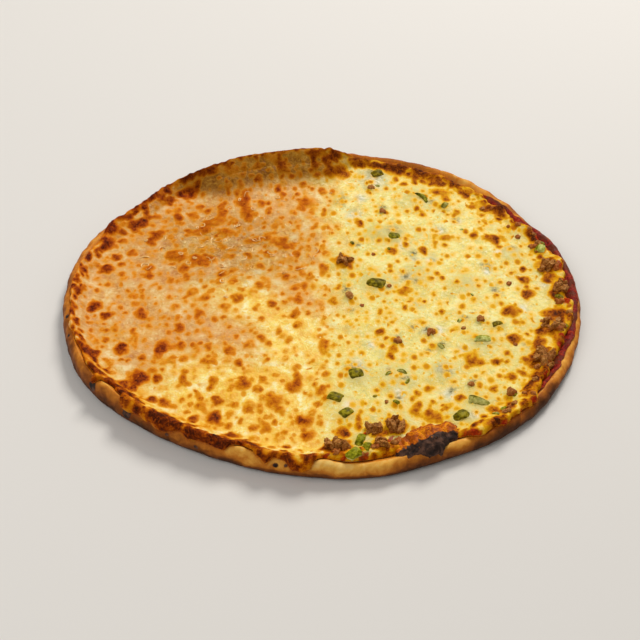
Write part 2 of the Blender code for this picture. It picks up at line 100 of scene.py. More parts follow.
# Where the dough is darker or lighter: how much, from angle, to angle, ease. The darkening
# on the front left and below the blister is painted shade, and the lighter front is painted light
DARKER_RIM = ((0.22, -4, 34, 14), (0.34, 286, 330, 8), (0.3, 145, 245, 16), (0.16, 36, 84, 12),
              (-0.1, 262, 288, 10))
CHAR_TIPS = ((108.1, 1.6, 1), (97.6, 1.3, 1), (92.9, 1.0, 1), (88.8, 1.0, 1))

# The layers
GAP = 0.3
SAUCE_THICKNESS = 0.8
SAUCE_EDGE = 0.25
SAUCE_TAPER = 4.0
SAUCE_SHORT_PLAIN = 5.5
SAUCE_SHORT_OPEN = 1.6
CHEESE_PLAIN = 3.0
CHEESE_TOPPED = 3.8
CHEESE_EDGE = 0.35
CHEESE_ROUND = 4.5
FOOT_FILL = 3.0
CURL_FOOT_FILL = 9.0
CREST_CLEARANCE = 0.7
CREST_REACH = 3.5
OPEN_START = 308.0
OPEN_END = 404.0
OPEN_EASE = 14.0
# How far over the crest the cheese reaches: angle, distance
CHEESE_OVER = (
    (4, -5.5), (8, -3), (12, -0.5), (16, -3), (20, -6.5), (26, -2.5), (30, -6.5), (36, -3.5),
    (40, -7), (46, -4.5), (52, -6.5), (58, -4), (64, -5.5), (72, -4.5), (80, -3), (86, -0.5),
    (92, 0.3), (130, -0.3), (157.8, 0.9), (163, -2.5), (169, -1.7), (175.5, -0.9), (181, 0),
    (188, -0.9), (194.5, 1.5), (199.5, -1.3), (203, -3.8), (208, -0.8), (211.3, -0.8), (213, 5.2),
    (214.3, -1.1), (215.8, -5.6), (218.8, -2.5), (223.5, 5.8), (226.5, 4.4), (230.2, 5.6),
    (232.5, 6.4), (235.2, 4.8), (236.8, 3.0), (239.5, 4.6), (243.5, 3.4), (248.2, 4.6), (250, 1.4),
    (251.8, -3.6), (254, -0.4), (256.2, 2.6), (258.2, 4.6), (260, 1.0), (262, 2.7), (264, 6.6),
    (266.2, 7.2), (267.8, 6.0), (268.8, 1.2), (270.8, -4.4), (274, -2.6), (277, -1.4), (280, -2.6),
    (284, -3.8), (288, -5.5), (293, -7), (299, -6.5), (303.5, -2), (307, 2.0), (311, 0.4),
    (315, 2.6), (320, 1.2), (325, 0.5), (331, -4.0), (340, -5), (347, -4), (351, -1.8),
    (354, -0.2), (357, 0.4), (360, -4.5),
)
EDGE_RAGGED = ((9, 0.7), (3, 0.8), (1.3, 0.5))
EDGE_RAGGED_OPEN = 0.9
SAUCE_OVER = ((5, 26, 4.2),)
DIVIDE_X = 4.0
DIVIDE_EASE = 9.0

# Toppings
Pepper = namedtuple("Pepper", "x y length width turn sunk tone")
LEVEL_REACH = 3.0
PEPPER_THICKNESS = 2.8
PEPPER_BEND = 0.16
CUT_SHARPNESS = 9
PEPPERS = (
    Pepper(32.4, 9.0, 13.5, 8.0, -12, 0.35, 0.15),
    Pepper(19.7, -70.5, 9.5, 7.5, 20, 0.40, 0.30),
    Pepper(7.3, -89.9, 8.5, 7.0, -25, 0.40, 0.25),
    Pepper(14.5, -102.2, 8.0, 6.5, 35, 0.40, 0.40),
    Pepper(22.0, -124.8, 9.5, 4.8, 62, 0.25, 0.75),
    Pepper(18.6, -136.4, 9.0, 6.0, 50, 0.25, 0.9),
    Pepper(25.6, -130.8, 7.5, 4.6, 62, 0.30, 0.65),
    Pepper(34.5, 121.0, 9.0, 6.5, 15, 0.40, 0.05),
    Pepper(64.1, 97.9, 13.5, 3.4, -28, 0.55, 0.60),
    Pepper(44.6, 55.4, 10.5, 6.0, 10, 0.65, 0.45),
    Pepper(138.2, 44.6, 8.0, 6.0, 70, 0.40, 0.95),
    Pepper(96.1, -39.6, 11.0, 5.5, 5, 0.45, 0.90),
    Pepper(89.9, -91.3, 12.0, 5.5, -20, 0.50, 0.35),
    Pepper(78.9, -103.3, 12.5, 6.0, 38, 0.50, 0.30),
)
RING_X = 43.5
RING_Y = -74.0
RING_RADIUS = 6.6
RING_WIDTH = 2.2
RING_HEIGHT = 3.2
RING_FROM = -60.0
RING_TO = 170.0
RING_SUNK = 0.6
RING_TONE = 0.55
RING_DIP = 1.9

Sausage = namedtuple("Sausage", "x y length width height turn sunk")
SAUSAGE_CRUMBS = 11
GRAIN = (1.8, 0.62, 0.75)
# How much finer the ridges of torn meat are along it and across it
TORN = (0.4, 1.3, 1.3)
SAUSAGES = (
    Sausage(9.4, -130.4, 13.5, 11.5, 8.5, 10, 0.40),
    Sausage(30.4, -116.0, 11.0, 8.0, 6.5, 10, 0.40),
    Sausage(41.3, -111.3, 9.5, 13.5, 8.0, 12, 0.40),
    Sausage(12.4, 29.9, 10.0, 8.0, 6.0, -20, 0.50),
    Sausage(140.0, 29.0, 13.0, 10.5, 6.5, 35, 0.45),
    Sausage(138.6, -26.0, 13.0, 10.5, 6.5, -15, 0.45),
    Sausage(131.0, -54.0, 11.5, 17.0, 6.5, -20, 0.45),
    Sausage(147.6, 8.0, 8.0, 11.0, 5.5, 10, 0.45),
    Sausage(34.2, -127.3, 8.5, 8.0, 6.5, -10, 0.40),
)

# Crumbs that the cheese holds: place, width, and how green (0 is sausage)
CRUMBS = (
    (30.3, 106.6, 5, 0), (79.0, 88.5, 6, 1), (37.8, 81.0, 5, 0), (105.4, -25.6, 6, 1),
    (44.6, -41.9, 6, 0), (42.5, -93.1, 5, 1), (86.2, -77.7, 5, 0), (15.8, -3.7, 6, 0),
    (95.2, -21.8, 6, 0), (64.9, -34.0, 6, 0), (70.3, -45.8, 5, 1), (134.0, 47.0, 5, 0),
    (108.8, -83.4, 7, 0),
)

# With smaller ones at random, how many crumbs, and the half disc that they lie on
LOOSE_CRUMBS = 30
CRUMB_FIELD = 146
CRUMB_OVAL = 0.93
CRUMBS_FROM_X = 14

# Smaller crumbs crowded at the rim: from angle, to angle, how many
RIM_CRUMBS = ((-44, 42, 30), (272, 300, 12), (312, 322, 3))

# Lumps where a topping lies wholly under the cheese: place, height, radius
BURIED = ((34.4, 60.1, 1.8, 8), (128.5, 62.8, 1.6, 8), (120.8, 41.6, 1.5, 7),
          (60.0, 20.0, 1.2, 9), (88.0, 12.0, 1.2, 9), (70.0, -66.0, 1.3, 8))
COLLAR = 1.1
COLLAR_REACH = 4.5

# Larger browned spots: place on the cheese laid flat, radius, how dark, and where
# they are long how much longer than wide and which way
BIG_SPOTS = (
    (-138, 53, 4.5, 1.1, 1.3, 40), (-139, 41, 5, 1.15, 1.3, 50), (-131, 53, 2.3, 0.6),
    (-144, 29, 2.2, 0.75, 1.2, 30), (-132, 30, 2.9, 0.7, 1.2, 20), (-136, 18, 4, 0.75, 1.3, 0),
    (-128, 23, 2.5, 0.5, 1.3, 0), (-152, 13, 2.8, 0.8, 1.3, 60), (-150, 25, 2.5, 0.7, 1.5, 60),
    (-155, 1, 2.8, 0.8, 1.2, 90), (-153, -8, 3.5, 0.9), (-140, -2, 1.9, 0.55),
    (-139, -16, 4, 0.95), (-131, -25, 3, 0.85, 1.7, 50), (-124, -17, 1.8, 0.5, 1.2, 90),
    (-153, -24, 2.1, 0.7, 1.3, 0), (-153, -31, 1.8, 0.7, 1.2, 90), (-150, -37, 3, 0.75),
    (-146, -43, 1.8, 0.75, 1.2, 0), (-147, -10, 1.2, 0.5), (-145, -56, 2.4, 0.8, 1.6, 160),
    (-137, -61, 5, 1), (-129, -46, 2.1, 0.5, 1.2, 90), (-119, -54, 4, 0.8),
    (-137, -76, 3.5, 1.05, 2, 80), (-130, -80, 2.9, 0.8), (-123, -84, 3, 0.65, 1.3, 20),
    (-115, -82, 3.5, 0.8, 1.3, 0), (-107, -76, 5, 1), (-95, -77, 2.6, 0.8, 1.2, 90),
    (-109, -86, 3, 0.85), (-112, -103, 2.5, 0.6, 1.2, 90), (-105, -101, 2.5, 0.95, 1.2, 0),
    (-97, -95, 2.8, 0.85, 1.6, 0), (-89, -97, 3, 0.6), (-105, -110, 3, 0.6, 1.3, 110),
    (-96, -115, 3, 0.9, 1.3, 130), (-92, -118, 3.5, 1, 1.2, 150), (-85, -121, 3, 0.9, 1.2, 0),
    (-81, -122, 2.2, 0.85, 1.5, 0), (-90, -123, 2.5, 0.7, 1.3, 0), (-81, -124, 2.5, 1, 1.5, 160),
    (-75, -128, 2.8, 1.05, 1.6, 170), (-70, -129, 2.7, 1.1, 1.5, 0),
    (-60, -132, 3.5, 1.05, 1.6, 160), (-56, -135, 3, 1, 1.5, 140), (-72, -109, 3, 0.8, 1.5, 45),
    (-61, -107, 4, 1), (-52, -136, 2.2, 0.9, 1.8, 0), (-135, -88, 2.9, 1, 1.6, 0),
    (-49, -122, 3.5, 0.95, 1.5, 10), (-42, -130, 2.8, 0.8, 2, 170), (-38, -135, 3, 0.9, 1.8, 130),
    (-33, -141, 2.4, 1, 1.5, 120), (-29, -143, 2.7, 1.1, 1.6, 160), (-19, -143, 3, 1, 1.8, 10),
    (-15, -146, 3, 1.1, 2, 140), (-19, -129, 2.2, 0.8), (-8, -144, 2.2, 0.6, 1.6, 80),
    (-61, -91, 1.7, 0.6, 1.3, 20), (-83, 83, 2.6, 0.5), (-69, 83, 2.6, 0.42),
    (-55, 88, 4, 0.5, 1.5, 0), (-97, 72, 3, 0.6, 1.6, 100), (-129, 66, 2.3, 0.7, 1.2, 0),
    (-125, 61, 4, 0.85, 1.2, 30), (-119, 63, 3.5, 0.8, 1.2, 0), (-110, 71, 2.6, 0.4, 1.2, 0),
    (-108, 53, 4, 0.6, 1.7, 35), (-112, 45, 3, 0.6, 1.5, 150), (-110, 20, 3, 0.5, 1.6, 0),
    (-110, 13, 2.5, 0.5, 1.4, 0), (-94, 34, 5.5, 0.42, 1.5, 0), (-80, 29, 5, 0.42, 1.3, 0),
    (-89, 20, 3, 0.5), (-72, 30, 3, 0.4, 1.4, 0), (-86, 13, 2.5, 0.4, 1.4, 90),
    (-64, 17, 3, 0.4, 1.3, 0), (-81, -1, 3, 0.4), (-70, 0, 1.9, 0.3), (-53, -5, 3.5, 0.42),
    (-60, -13, 2.4, 0.4, 1.3, 0), (-118, -6, 2.5, 0.35, 1.2, 0), (-134, 4, 1.9, 0.4),
    (-111, -22, 3.5, 0.6, 1.2, 160), (-76, -20, 2.7, 0.45), (-48, 49, 3, 0.4, 1.5, 0),
    (-72, 67, 5, 0.35, 2.6, 12), (-81, 57, 5, 0.35, 2.6, 15), (-63, 57, 4, 0.32, 1.8, 0),
    (-32, -10, 2.8, 0.5), (-24, -9, 1.8, 0.45), (-15, -7, 2.5, 0.5), (-17, -19, 2.7, 0.55),
    (-37, -24, 1.8, 0.45), (-86, -34, 2.7, 0.6), (-114, -37, 2.1, 0.5), (-95, -50, 4, 0.75),
    (-106, -60, 2.1, 0.5), (-80, -78, 2.9, 0.55, 1.4, 120), (-64, -83, 2, 0.6, 1.2, 45),
    (-49, -62, 2.6, 0.5), (-68, -49, 2.4, 0.5), (-55, -52, 3, 0.5, 1.2, 0), (-52, -40, 1.8, 0.45),
    (-32, -45, 2.1, 0.5), (-46, -80, 4, 0.5, 1.3, 20), (-34, -75, 2.3, 0.45),
    (-59, -94, 2.6, 0.6, 1.4, 0), (-45, -109, 1.7, 0.5, 1.2, 90), (-38, -114, 2.5, 0.5),
    (-16, -81, 4, 0.5, 1.2, 0), (-8, -108, 3.5, 0.6, 1.2, 0), (-13, -107, 2.3, 0.5, 1.4, 90),
    (-7, -119, 3.5, 0.5, 1.5, 30), (-20, -117, 1.7, 0.4), (-24, 15, 2.5, 0.45),
    (-9, 15, 2.5, 0.45, 1.2, 0), (-26, 44, 2.6, 0.42, 1.2, 0), (-18, 37, 3, 0.42, 1.2, 0),
    (-8, 56, 1.9, 0.4), (-40, 6, 2.5, 0.45, 1.2, 0), (-27, -92, 4.5, 0.42, 1.4, 0),
    (-30, 50, 4.5, 0.38, 1.6, 0), (-16, 84, 2.6, 0.42, 1.3, 0), (-12, 90, 4.5, 0.34, 1.4, 0),
    (-30, 119, 4, 0.62), (-23, 113, 2, 0.6, 1.2, 0), (-46, 109, 2.7, 0.6),
    (-48, 118, 2.7, 0.5, 1.2, 0), (-32, 102, 2.7, 0.5, 1.3, 90), (-29, 97, 2, 0.5),
    (-19, 98, 1.7, 0.5), (-65, 95, 1.7, 0.6), (-87, 102, 2.7, 0.85), (-95, 106, 3.5, 0.85, 1.5, 0),
    (-89, 97, 3.5, 0.6, 1.6, 20), (-93, 92, 2.3, 0.6, 1.2, 0), (-107, 100, 2.7, 1, 1.3, 40),
    (-107, 95, 2.7, 0.85), (-116, 90, 3.5, 1.05, 1.4, 30), (-78, 111, 3.5, 0.7, 1.4, 0),
    (-86, 109, 2.7, 0.75, 1.4, 30), (-52, 77, 4, 0.45, 1.4, 0), (-38, 79, 2.3, 0.45),
    (-43, 88, 2.7, 0.5, 1.2, 120), (-50, 72, 2.6, 0.4), (-36, 125, 3.5, 0.45, 1.5, 0),
    (-65, 112, 5.5, 0.3, 1.6, 0), (-57, 117, 2.7, 0.32, 1.2, 90), (-8, 123, 3, 0.85, 1.2, 90),
    (1, 127, 3.5, 0.9, 1.2, 90), (7, 134, 3.5, 0.9, 1.3, 0), (11, 122, 4.5, 0.62, 1.3, 70),
    (2, 118, 3.5, 0.7, 1.5, 10), (-9, 132, 4, 0.9, 2, 0), (22, 132, 5, 0.74, 1.5, 0),
    (46, 127, 6, 0.86, 1.6, 0), (52, 130, 4, 0.86), (35, 129, 4, 0.78, 2, 0),
    (66, 121, 7, 0.82, 3, 175), (75, 114, 4.5, 0.78, 1.4, 160), (60, 115, 2.4, 0.58, 1.5, 90),
    (66, 115, 2.4, 0.62), (53, 112, 2.2, 0.66), (47, 117, 2.4, 0.55, 1.4, 90),
    (77, 104, 4.5, 0.51, 2.4, 170), (87, 114, 4, 0.74, 2, 165), (61, 86, 2.1, 0.55, 1.3, 120),
    (64, 80, 2, 0.6, 1.3, 0), (80, 97, 3, 0.5, 1.2, 0), (109, 88, 3.5, 0.66, 1.3, 0),
    (114, 85, 4.5, 0.74, 1.4, 160), (117, 87, 3.5, 0.7, 1.5, 140), (117, 80, 2.6, 0.58),
    (94, 103, 3.5, 0.58, 1.2, 0), (90, 106, 2.4, 0.55, 1.2, 90), (97, 89, 2, 0.6, 1.4, 20),
    (87, 83, 2.1, 0.6), (108, 57, 4, 0.65, 2.2, 0), (97, 59, 2.6, 0.65, 1.6, 60),
    (112, 48, 1.9, 0.6), (77, 49, 1.7, 0.6), (78, 56, 3, 0.45, 1.8, 0), (126, 27, 2.3, 0.8),
    (126, 16, 3, 0.85, 1.2, 0), (135, 60, 4, 1, 1.2, 140), (135, 56, 2.6, 0.9),
    (127, 4, 3.5, 0.95, 1.2, 0), (115, -13, 4.5, 0.6, 1.3, 0), (141, -14, 5.5, 0.85, 1.8, 0),
    (132, -31, 3.5, 0.8, 1.3, 0), (115, -37, 3.5, 0.72, 1.2, 0), (123, -33, 1.5, 0.6),
    (123, -56, 4, 0.8, 1.8, 170), (109, -50, 1.9, 0.65), (102, -57, 2.4, 0.75, 1.3, 0),
    (110, -69, 2.9, 0.7, 1.3, 90), (118, -67, 2.3, 0.6), (119, -85, 3, 0.7, 1.4, 90),
    (99, -80, 2.3, 0.65), (97, -97, 3, 0.6, 1.3, 0), (101, -111, 4, 0.85, 2.2, 175),
    (117, -94, 2.8, 0.65, 1.4, 90), (55, -85, 2.1, 0.6), (61, -81, 2.1, 0.6),
    (56, -94, 1.9, 0.6, 1.2, 90), (53, -99, 3, 0.5, 1.2, 0), (63, -103, 4.5, 0.5, 1.6, 0),
    (79, -88, 2.3, 0.65, 1.2, 0), (72, -95, 2.3, 0.45, 1.8, 25), (12, -117, 3.5, 0.85),
    (21, -105, 1.7, 0.5, 1.2, 90), (21, -111, 2.8, 0.55, 1.8, 90), (72, -15, 1.8, 0.7, 1.2, 90),
    (33, -34, 1.8, 0.5, 1.2, 0), (88, -55, 4, 0.4, 2, 60), (91, -58, 3.5, 0.45, 1.6, 20),
    (43, 42, 3, 0.6, 1.4, 0), (52, 48, 1.9, 0.7, 1.4, 120), (23, 68, 2, 0.6),
    (22, 71, 2.6, 0.5, 1.4, 140), (42, 22, 1.6, 0.6), (63, 43, 2.6, 0.7), (67, 15, 1.4, 0.6),
    (74, 16, 1.6, 0.65), (83, 12, 1.6, 0.55), (97, 10, 1.4, 0.55), (50, -12, 1.6, 0.9, 1.3, 110),
    (68, 1, 1.5, 0.5, 1.3, 90), (50, 4, 3.5, 0.45, 2, 15), (43, -48, 2.4, 0.5, 1.5, 110),
    (40, -54, 2.4, 0.6, 1.3, 70), (34, -34, 2.4, 0.45, 1.2, 0),
)

# Scattered browned spots: tries, least gap, least and most radius, least and most darkness
PLAIN_SPOTS = (3600, 0.9, 1.2, 3.0, 0.16, 0.5)
TOPPED_SPOTS = (420, 2.2, 0.9, 1.8, 0.3, 0.62)
SPOT_TALL = 1.28
SPOT_FIELD = 150.0
SPOT_OVAL = 0.92
# How far outside its edge a dot of the material is when it isn't shown
DOT_MARGIN = 9.0

# Places where the sauce has come through, and pale patches on the cheese that are painted
# reflections: place laid flat, radius, how much longer than wide and which way
RED_SPOTS = (
    (24, -139, 2.2, 2.2, 20), (13, -141, 1.8, 2.4, 10), (3, -140, 1.6, 2, 0),
    (39, -122, 1.8, 1.6, 60), (50, -125, 2.4, 2, 25), (25, -119, 1.5, 1.8, 0),
    (86, -119, 4.4, 2.6, 0), (36, -140, 2.7, 1.6, 20), (43, -136, 1.6, 1.4, 0),
    (143, 46, 3.2, 2, 120), (137, 58, 2.6, 2, 130), (151, 13, 3.7, 1.2, 0), (150, -5, 3.1, 2, 90),
    (144, -35, 2.4, 1.5, 0), (142, -43, 2.4, 2, 100), (131, -70, 2.3, 2.4, 65),
    (123, -91, 2.6, 2.2, 60), (115, -100, 2.3, 1.6, 40), (105, -109, 2.2, 2, 20),
    (149, 29, 2.5, 1.5, 100),
)
GLINT_PATCHES = (
    (31, 115, 8.1, 1.3, 170), (20, -65, 4.7, 1.3, 110), (112, 43, 3.2, 1.2, 0),
    (120, 46, 2.6, 1.2, 0), (138, 12, 3.7, 1.3, 20), (87, -102, 3.4, 1.2, 0),
    (52, 16, 3.1, 1.2, 0), (57, 34, 2.5, 1.2, 0), (74, 64, 3.9, 1.3, 0), (51, 47, 3.9, 1.3, 0),
    (103, 101, 3.3, 1.4, 160), (113, 76, 2.6, 1.2, 0), (86, 73, 2.6, 1.2, 0),
    (68, 34, 3.2, 1.2, 0), (19, 78, 4.6, 1.3, 0), (24, 96, 4, 1.3, 0), (70, -31, 3, 1.2, 0),
    (63, -32, 2.4, 1.2, 0), (103, 24, 2.5, 1.2, 0), (122, -10, 3.7, 1.2, 0),
    (72, -64, 3.5, 1.3, 0), (83, -48, 2.4, 1.2, 0), (142, 20, 2.5, 1.3, 60), (73, -85, 4, 1.4, 0),
    (45, -86, 3.4, 1.4, 120), (16, -96, 3.4, 1.2, 0), (29, -45, 3, 1.2, 0),
)
# Places where a topping under the cheese darkens it
DIM_SPOTS = (
    (34, 127, 6.0, 1.3, 0), (11, 93, 3.3, 2, 90), (38, 86, 2.3, 1.3, 0), (86, 76, 2.1, 1.3, 0),
    (44, 61, 4.0, 1.5, 0), (57, 40, 2.7, 1.6, 20), (104, 95, 2.0, 1.3, 0), (120, 46, 3.0, 1.3, 0),
    (103, 30, 3.3, 1.3, 0), (51, 18, 2.7, 1.2, 0), (58, 13, 2.4, 1.2, 0), (14, 4, 3.0, 1.3, 0),
    (39, 6, 2.0, 1.2, 0), (63, -31, 3.0, 1.5, 150), (54, -29, 2.1, 1.2, 0),
    (45, -39, 2.4, 1.6, 90), (71, -43, 1.9, 1.2, 0), (18, -66, 3.7, 1.4, 0),
    (72, -65, 4.0, 1.4, 120), (111, -35, 2.0, 1.3, 0), (123, -42, 3.3, 1.4, 0),
    (44, -89, 2.0, 1.2, 0), (88, -74, 2.7, 1.8, 0), (75, -81, 2.3, 1.5, 0),
    (112, -105, 2.1, 1.3, 0), (107, 6, 2.8, 1.3, 150), (16, -15, 1.7, 1.2, 0),
    (71, 93, 2.0, 1.5, 0), (86, -19, 2.0, 1.4, 0), (137, 29, 2.7, 1.3, 0), (39, -67, 1.5, 2.2, 90),
    (48, -73, 1.5, 2.2, 0), (64, -48, 1.7, 1.3, 0), (21, 48, 2.3, 1.5, 0),
    (102, -90, 2.0, 1.5, 90),
)
# How the spots fade: a lighter middle in some, the edge, the darkest, and the halo
HOLLOW = 0.6
SPOT_EDGE = 0.95
DARKEST = 0.78
HALO_REACH = 1.9

# Browning round the rim: angle, the band's width, spots to a degree, least and
# most radius, and how dark
RIM_BROWNING = (
    (0, 11, 0.8, 1.6, 3.8, 0.95), (40, 9, 0.6, 1.4, 3.0, 0.8), (60, 7, 0.6, 1.4, 3.0, 0.75),
    (85, 7, 0.55, 1.2, 2.6, 0.9), (100, 4, 0.3, 0.9, 1.8, 0.8), (125, 6, 0.5, 1.2, 2.6, 0.95),
    (140, 12, 0.9, 1.6, 3.6, 1.0), (160, 8, 0.5, 1.4, 3.0, 0.9), (190, 7, 0.4, 1.4, 2.6, 0.85),
    (212, 10, 0.9, 1.8, 3.6, 1.0), (245, 9, 0.9, 1.8, 3.4, 1.0), (268, 8, 0.5, 1.6, 3.0, 0.9),
    (290, 6, 0.4, 1.5, 3.0, 0.8), (310, 10, 0.8, 1.6, 3.6, 0.9), (338, 12, 0.9, 1.5, 3.8, 0.95),
)

# Curly shreds that baked glossy on the plain half: how many, middle, spread, flatness
SHRED_COUNT = 70
SHRED_MIDDLE = (-62.0, 50.0)
SHRED_SPREAD = (38.0, 22.0)
SHRED_REACH = 1.4

# The highest that the finer meshes go, and how softly they level off there
CEILING = 22.6
CEILING_GIVE = 1.1

# Stretches of the rim: from angle, to angle, and over how many degrees they fade
FRONT_LEFT = (205, 268, 10)
BACK = (50, 165, 16)
GLAZED = (296, 412, 24)
WIDE_HALO = (300, 420, 20)
# The curl's inner slope, where the cheese is coloured darker as painted shade
SHADED_CURL = (76, 140, 20)
BACK_DOUGH = (60, 135, 14)
BACK_RIGHT_DOUGH = (40, 92, 14)
BROWN_LINE = (36, 88, 14)

# The curly part of the plain half: middle and reach
CURLY_MIDDLE = (-62, 46)
CURLY_REACH = (52, 34)

# Noises in plan: how much, which layer, size. The warps are first along X, then along Y
SWELLS = ((0.30, 1, 11), (0.24, 2, 5))
CLOUDS = ((0.8, 11, 34), (0.35, 12, 14))
SPOT_WARPS = ((0.8, 21, 4.5), (0.45, 22, 1.9), (0.8, 23, 4.5), (0.45, 24, 1.9))
PATCH_WARPS = ((1.2, 71, 5), (1.2, 72, 5))
CLUMPS = ((1, 31, 7), (0.5, 32, 3))
CLEARINGS = ((1, 41, 13), (0.6, 42, 5))

# Fineness of the meshes
CHEESE_RINGS = 150
CHEESE_EASE = math.radians(55)
RIM_STEPS = 900
RIM_ANGLES = np.arange(RIM_STEPS) * 360.0 / RIM_STEPS
UNDERSIDE_INSETS = (1.2, 3.0, 6.0, 12.0, 20.0, 35.0, 60.0, 95.0, 125.0)
SAUCE_STEPS = (0.0, 0.3, 0.8, 1.5, 2.4, 3.4, 4.6, 6.0)

# Where the camera is, and how far the floor reaches
CAMERA_PLACE = (-1.71, -651.75, 592.9)
CAMERA_ELEVATION = 0.7489
CAMERA_ROLL = 0.0234
CAMERA_LENS = 79.68
CAMERA_SENSOR = 36.0
FLOOR_REACH = 6.0

random = np.random.RandomState(7)


# ---------------------------------------------------------------- smooth functions

def apart(angle, centre):
    """Degrees from centre to angle, the short way round."""
    return (angle - centre + 180.0) % 360.0 - 180.0


def eased(share):
    """A smooth step from 0 to 1."""
    share = np.clip(share, 0.0, 1.0)
    return share * share * (3.0 - 2.0 * share)


def mixed(first, second, share):
    return first + (second - first) * share


def bell(value):
    """1 where the value is 0, falling smoothly to 0 on both sides."""
    return np.exp(-value ** 2)


def turned(x, y, turn):
    """A place seen along an axis that is turned, and across it."""
    return x * math.cos(turn) + y * math.sin(turn), y * math.cos(turn) - x * math.sin(turn)


def bumps(table, angle):
    """Sum of bell-shaped bumps, each an angle, a half width and a height."""
    return sum(height * bell(apart(angle, centre) / half) for centre, half, height in table)


def stretch(angle, start, end, ease):
    """1 between start and end, falling smoothly to 0 outside."""
    middle = (start + end) / 2
    beyond = abs(apart(angle, middle)) - (end - start) / 2
    return 1.0 - eased(beyond / ease + 0.5)


def between(table, angle):
    """A smooth closed curve through a table of angles and values."""
    result = np.zeros_like(angle)
    for index, (start, value) in enumerate(table):
        following, next_value = table[(index + 1) % len(table)]
        span = (following - start) % 360
        along = (angle - start) % 360
        curve = mixed(value, next_value, eased(along / span))
        result = np.where(along < span, curve, result)
    return result


SHUFFLED = np.tile(np.random.RandomState(3).permutation(256), 3)
ARROWS = np.random.RandomState(4).normal(size=(256, 3))
ARROWS /= np.linalg.norm(ARROWS, axis=1)[:, None]


def ripple(x, y, z, size):
    """Even noise from about -1 to 1, with bumps about size across."""
    place = np.stack(np.broadcast_arrays(x, y, z), axis=-1) / size
    cell = np.floor(place).astype(int)
    inside = place - cell
    soft = inside ** 3 * (inside * (inside * 6 - 15) + 10)
    total = 0.0
    for corner in itertools.product((0, 1), repeat=3):
        near = (cell + corner) & 255
        key = SHUFFLED[SHUFFLED[SHUFFLED[near[..., 0]] + near[..., 1]] + near[..., 2]]
        weight = np.prod(np.where(corner, soft, 1 - soft), axis=-1)
        total = total + weight * np.sum(ARROWS[key] * (inside - corner), axis=-1)
    return 1.7 * total


def rough(x, y, z, size):
    """Noise with finer detail in it, down to a quarter of its size."""
    return sum(ripple(x, y, z + 37.0 * octave, size / 2 ** octave) / 2 ** octave
               for octave in range(3))


def ripples(x, y, table):
    """Sum of noises in plan, each an amount, a layer and a size."""
    return sum(amount * ripple(x, y, layer, size) for amount, layer, size in table)


def wander(angle, span, layer):
    """Noise along the rim that closes on itself, with bumps about span degrees long."""
    turn = np.radians(angle)
    reach = math.degrees(1.0) / span
    return ripple(np.cos(turn) * reach, np.sin(turn) * reach, layer, 1.0)


# ---------------------------------------------------------------- the crust's section

Section = namedtuple("Section", "outer height ramp lift sauce")


def openness(angle):
    """1 along the right of the rim, where the sauce shows, and 0 elsewhere."""
    return stretch(angle, OPEN_START, OPEN_END, OPEN_EASE)


def section_at(angle):
    turn = np.radians(angle - AXIS_TURN)
    oval = 1.0 / np.hypot(2 * np.cos(turn) / LONG_AXIS, 2 * np.sin(turn) / SHORT_AXIS)
    curl = stretch(angle, CURL_START, CURL_END, CURL_EASE)
    outer = oval + bumps(EDGE_BULGES, angle) - CURL_PULL * curl
    height = between(RIM_HEIGHTS, angle) + CURL_RISE * curl
    height = height + bumps(BURNT_POINTS + DOUGH_LOBES, angle)
    height = height + LOBE_RISE * wander(angle, LOBE_SPAN, 5.0)
    widening = CURL_EXTRA_RAMP * curl
    sauce = mixed(SAUCE_SHORT_PLAIN, SAUCE_SHORT_OPEN, openness(angle)) - bumps(SAUCE_OVER, angle)
    return Section(outer, height, RAMP_WIDTH + widening, CURL_LIFT * curl, sauce + widening / 2)


def ramp_foot(section):
    return section.outer - CREST_INSET - section.ramp


def ramp_run(section):
    return np.hypot(section.ramp, section.height - BASE)


def crest_run(section):
    """Distance along the top of the section, from the centre to the crest."""
    return ramp_foot(section) + ramp_run(section)


def widest_height(section):
    return section.lift + WIDEST_SHARE * (section.height - section.lift)


def round_run(section):
    """Length of the round, from the crest down to the widest line."""
    drop = section.height - widest_height(section)
    return math.pi / 2 * np.hypot(CREST_INSET, drop) / math.sqrt(2)


def on_section(section, run, lift):
    """Radius and height at a distance along the top, lifted off the crust."""
    foot = ramp_foot(section)
    share = (run - foot) / ramp_run(section)
    drop = section.height - widest_height(section)
    turn = np.clip((run - crest_run(section)) / round_run(section), 0, 1) * math.pi / 2
    round_radius = section.outer - CREST_INSET + (CREST_INSET + lift) * np.sin(turn)
    round_height = widest_height(section) + (drop + lift) * np.cos(turn)
    radius = np.where(share <= 1, foot + section.ramp * share, round_radius)
    height = np.where(share <= 1, mixed(BASE, section.height, share) + lift, round_height)
    radius = np.where(share <= 0, run, radius)
    return radius, np.where(share <= 0, BASE + lift, height)


def on_wall(section, share):
    """Radius and height on the outer wall, from the widest line to the foot."""
    turn = share * math.pi / 2
    radius = section.outer - FOOT_INSET * (1 - np.cos(turn))
    return radius, mixed(widest_height(section), section.lift, np.sin(turn))


def placed(angle, radius, height):
    turn = np.radians(angle)
    flat = radius * np.cos(turn), radius * np.sin(turn), height
    return np.stack(np.broadcast_arrays(*flat), axis=-1)


# ---------------------------------------------------------------- sauce and cheese

def sauce_stop(section):
    return crest_run(section) - section.sauce


def sauce_top(beyond):
    """Lift of the sauce's top, by distance beyond the line where it ends."""
    return GAP + SAUCE_EDGE + (SAUCE_THICKNESS - SAUCE_EDGE) * eased(-beyond / SAUCE_TAPER)


def cheese_bottom(section, run):
    """Lift of the cheese's underside, on the sauce and then on the dough."""
    beyond = run - sauce_stop(section)
    on_dough = GAP + CREST_CLEARANCE * bell((run - crest_run(section)) / CREST_REACH)
    return mixed(sauce_top(beyond) + GAP, on_dough, eased((beyond - GAP) / GAP))


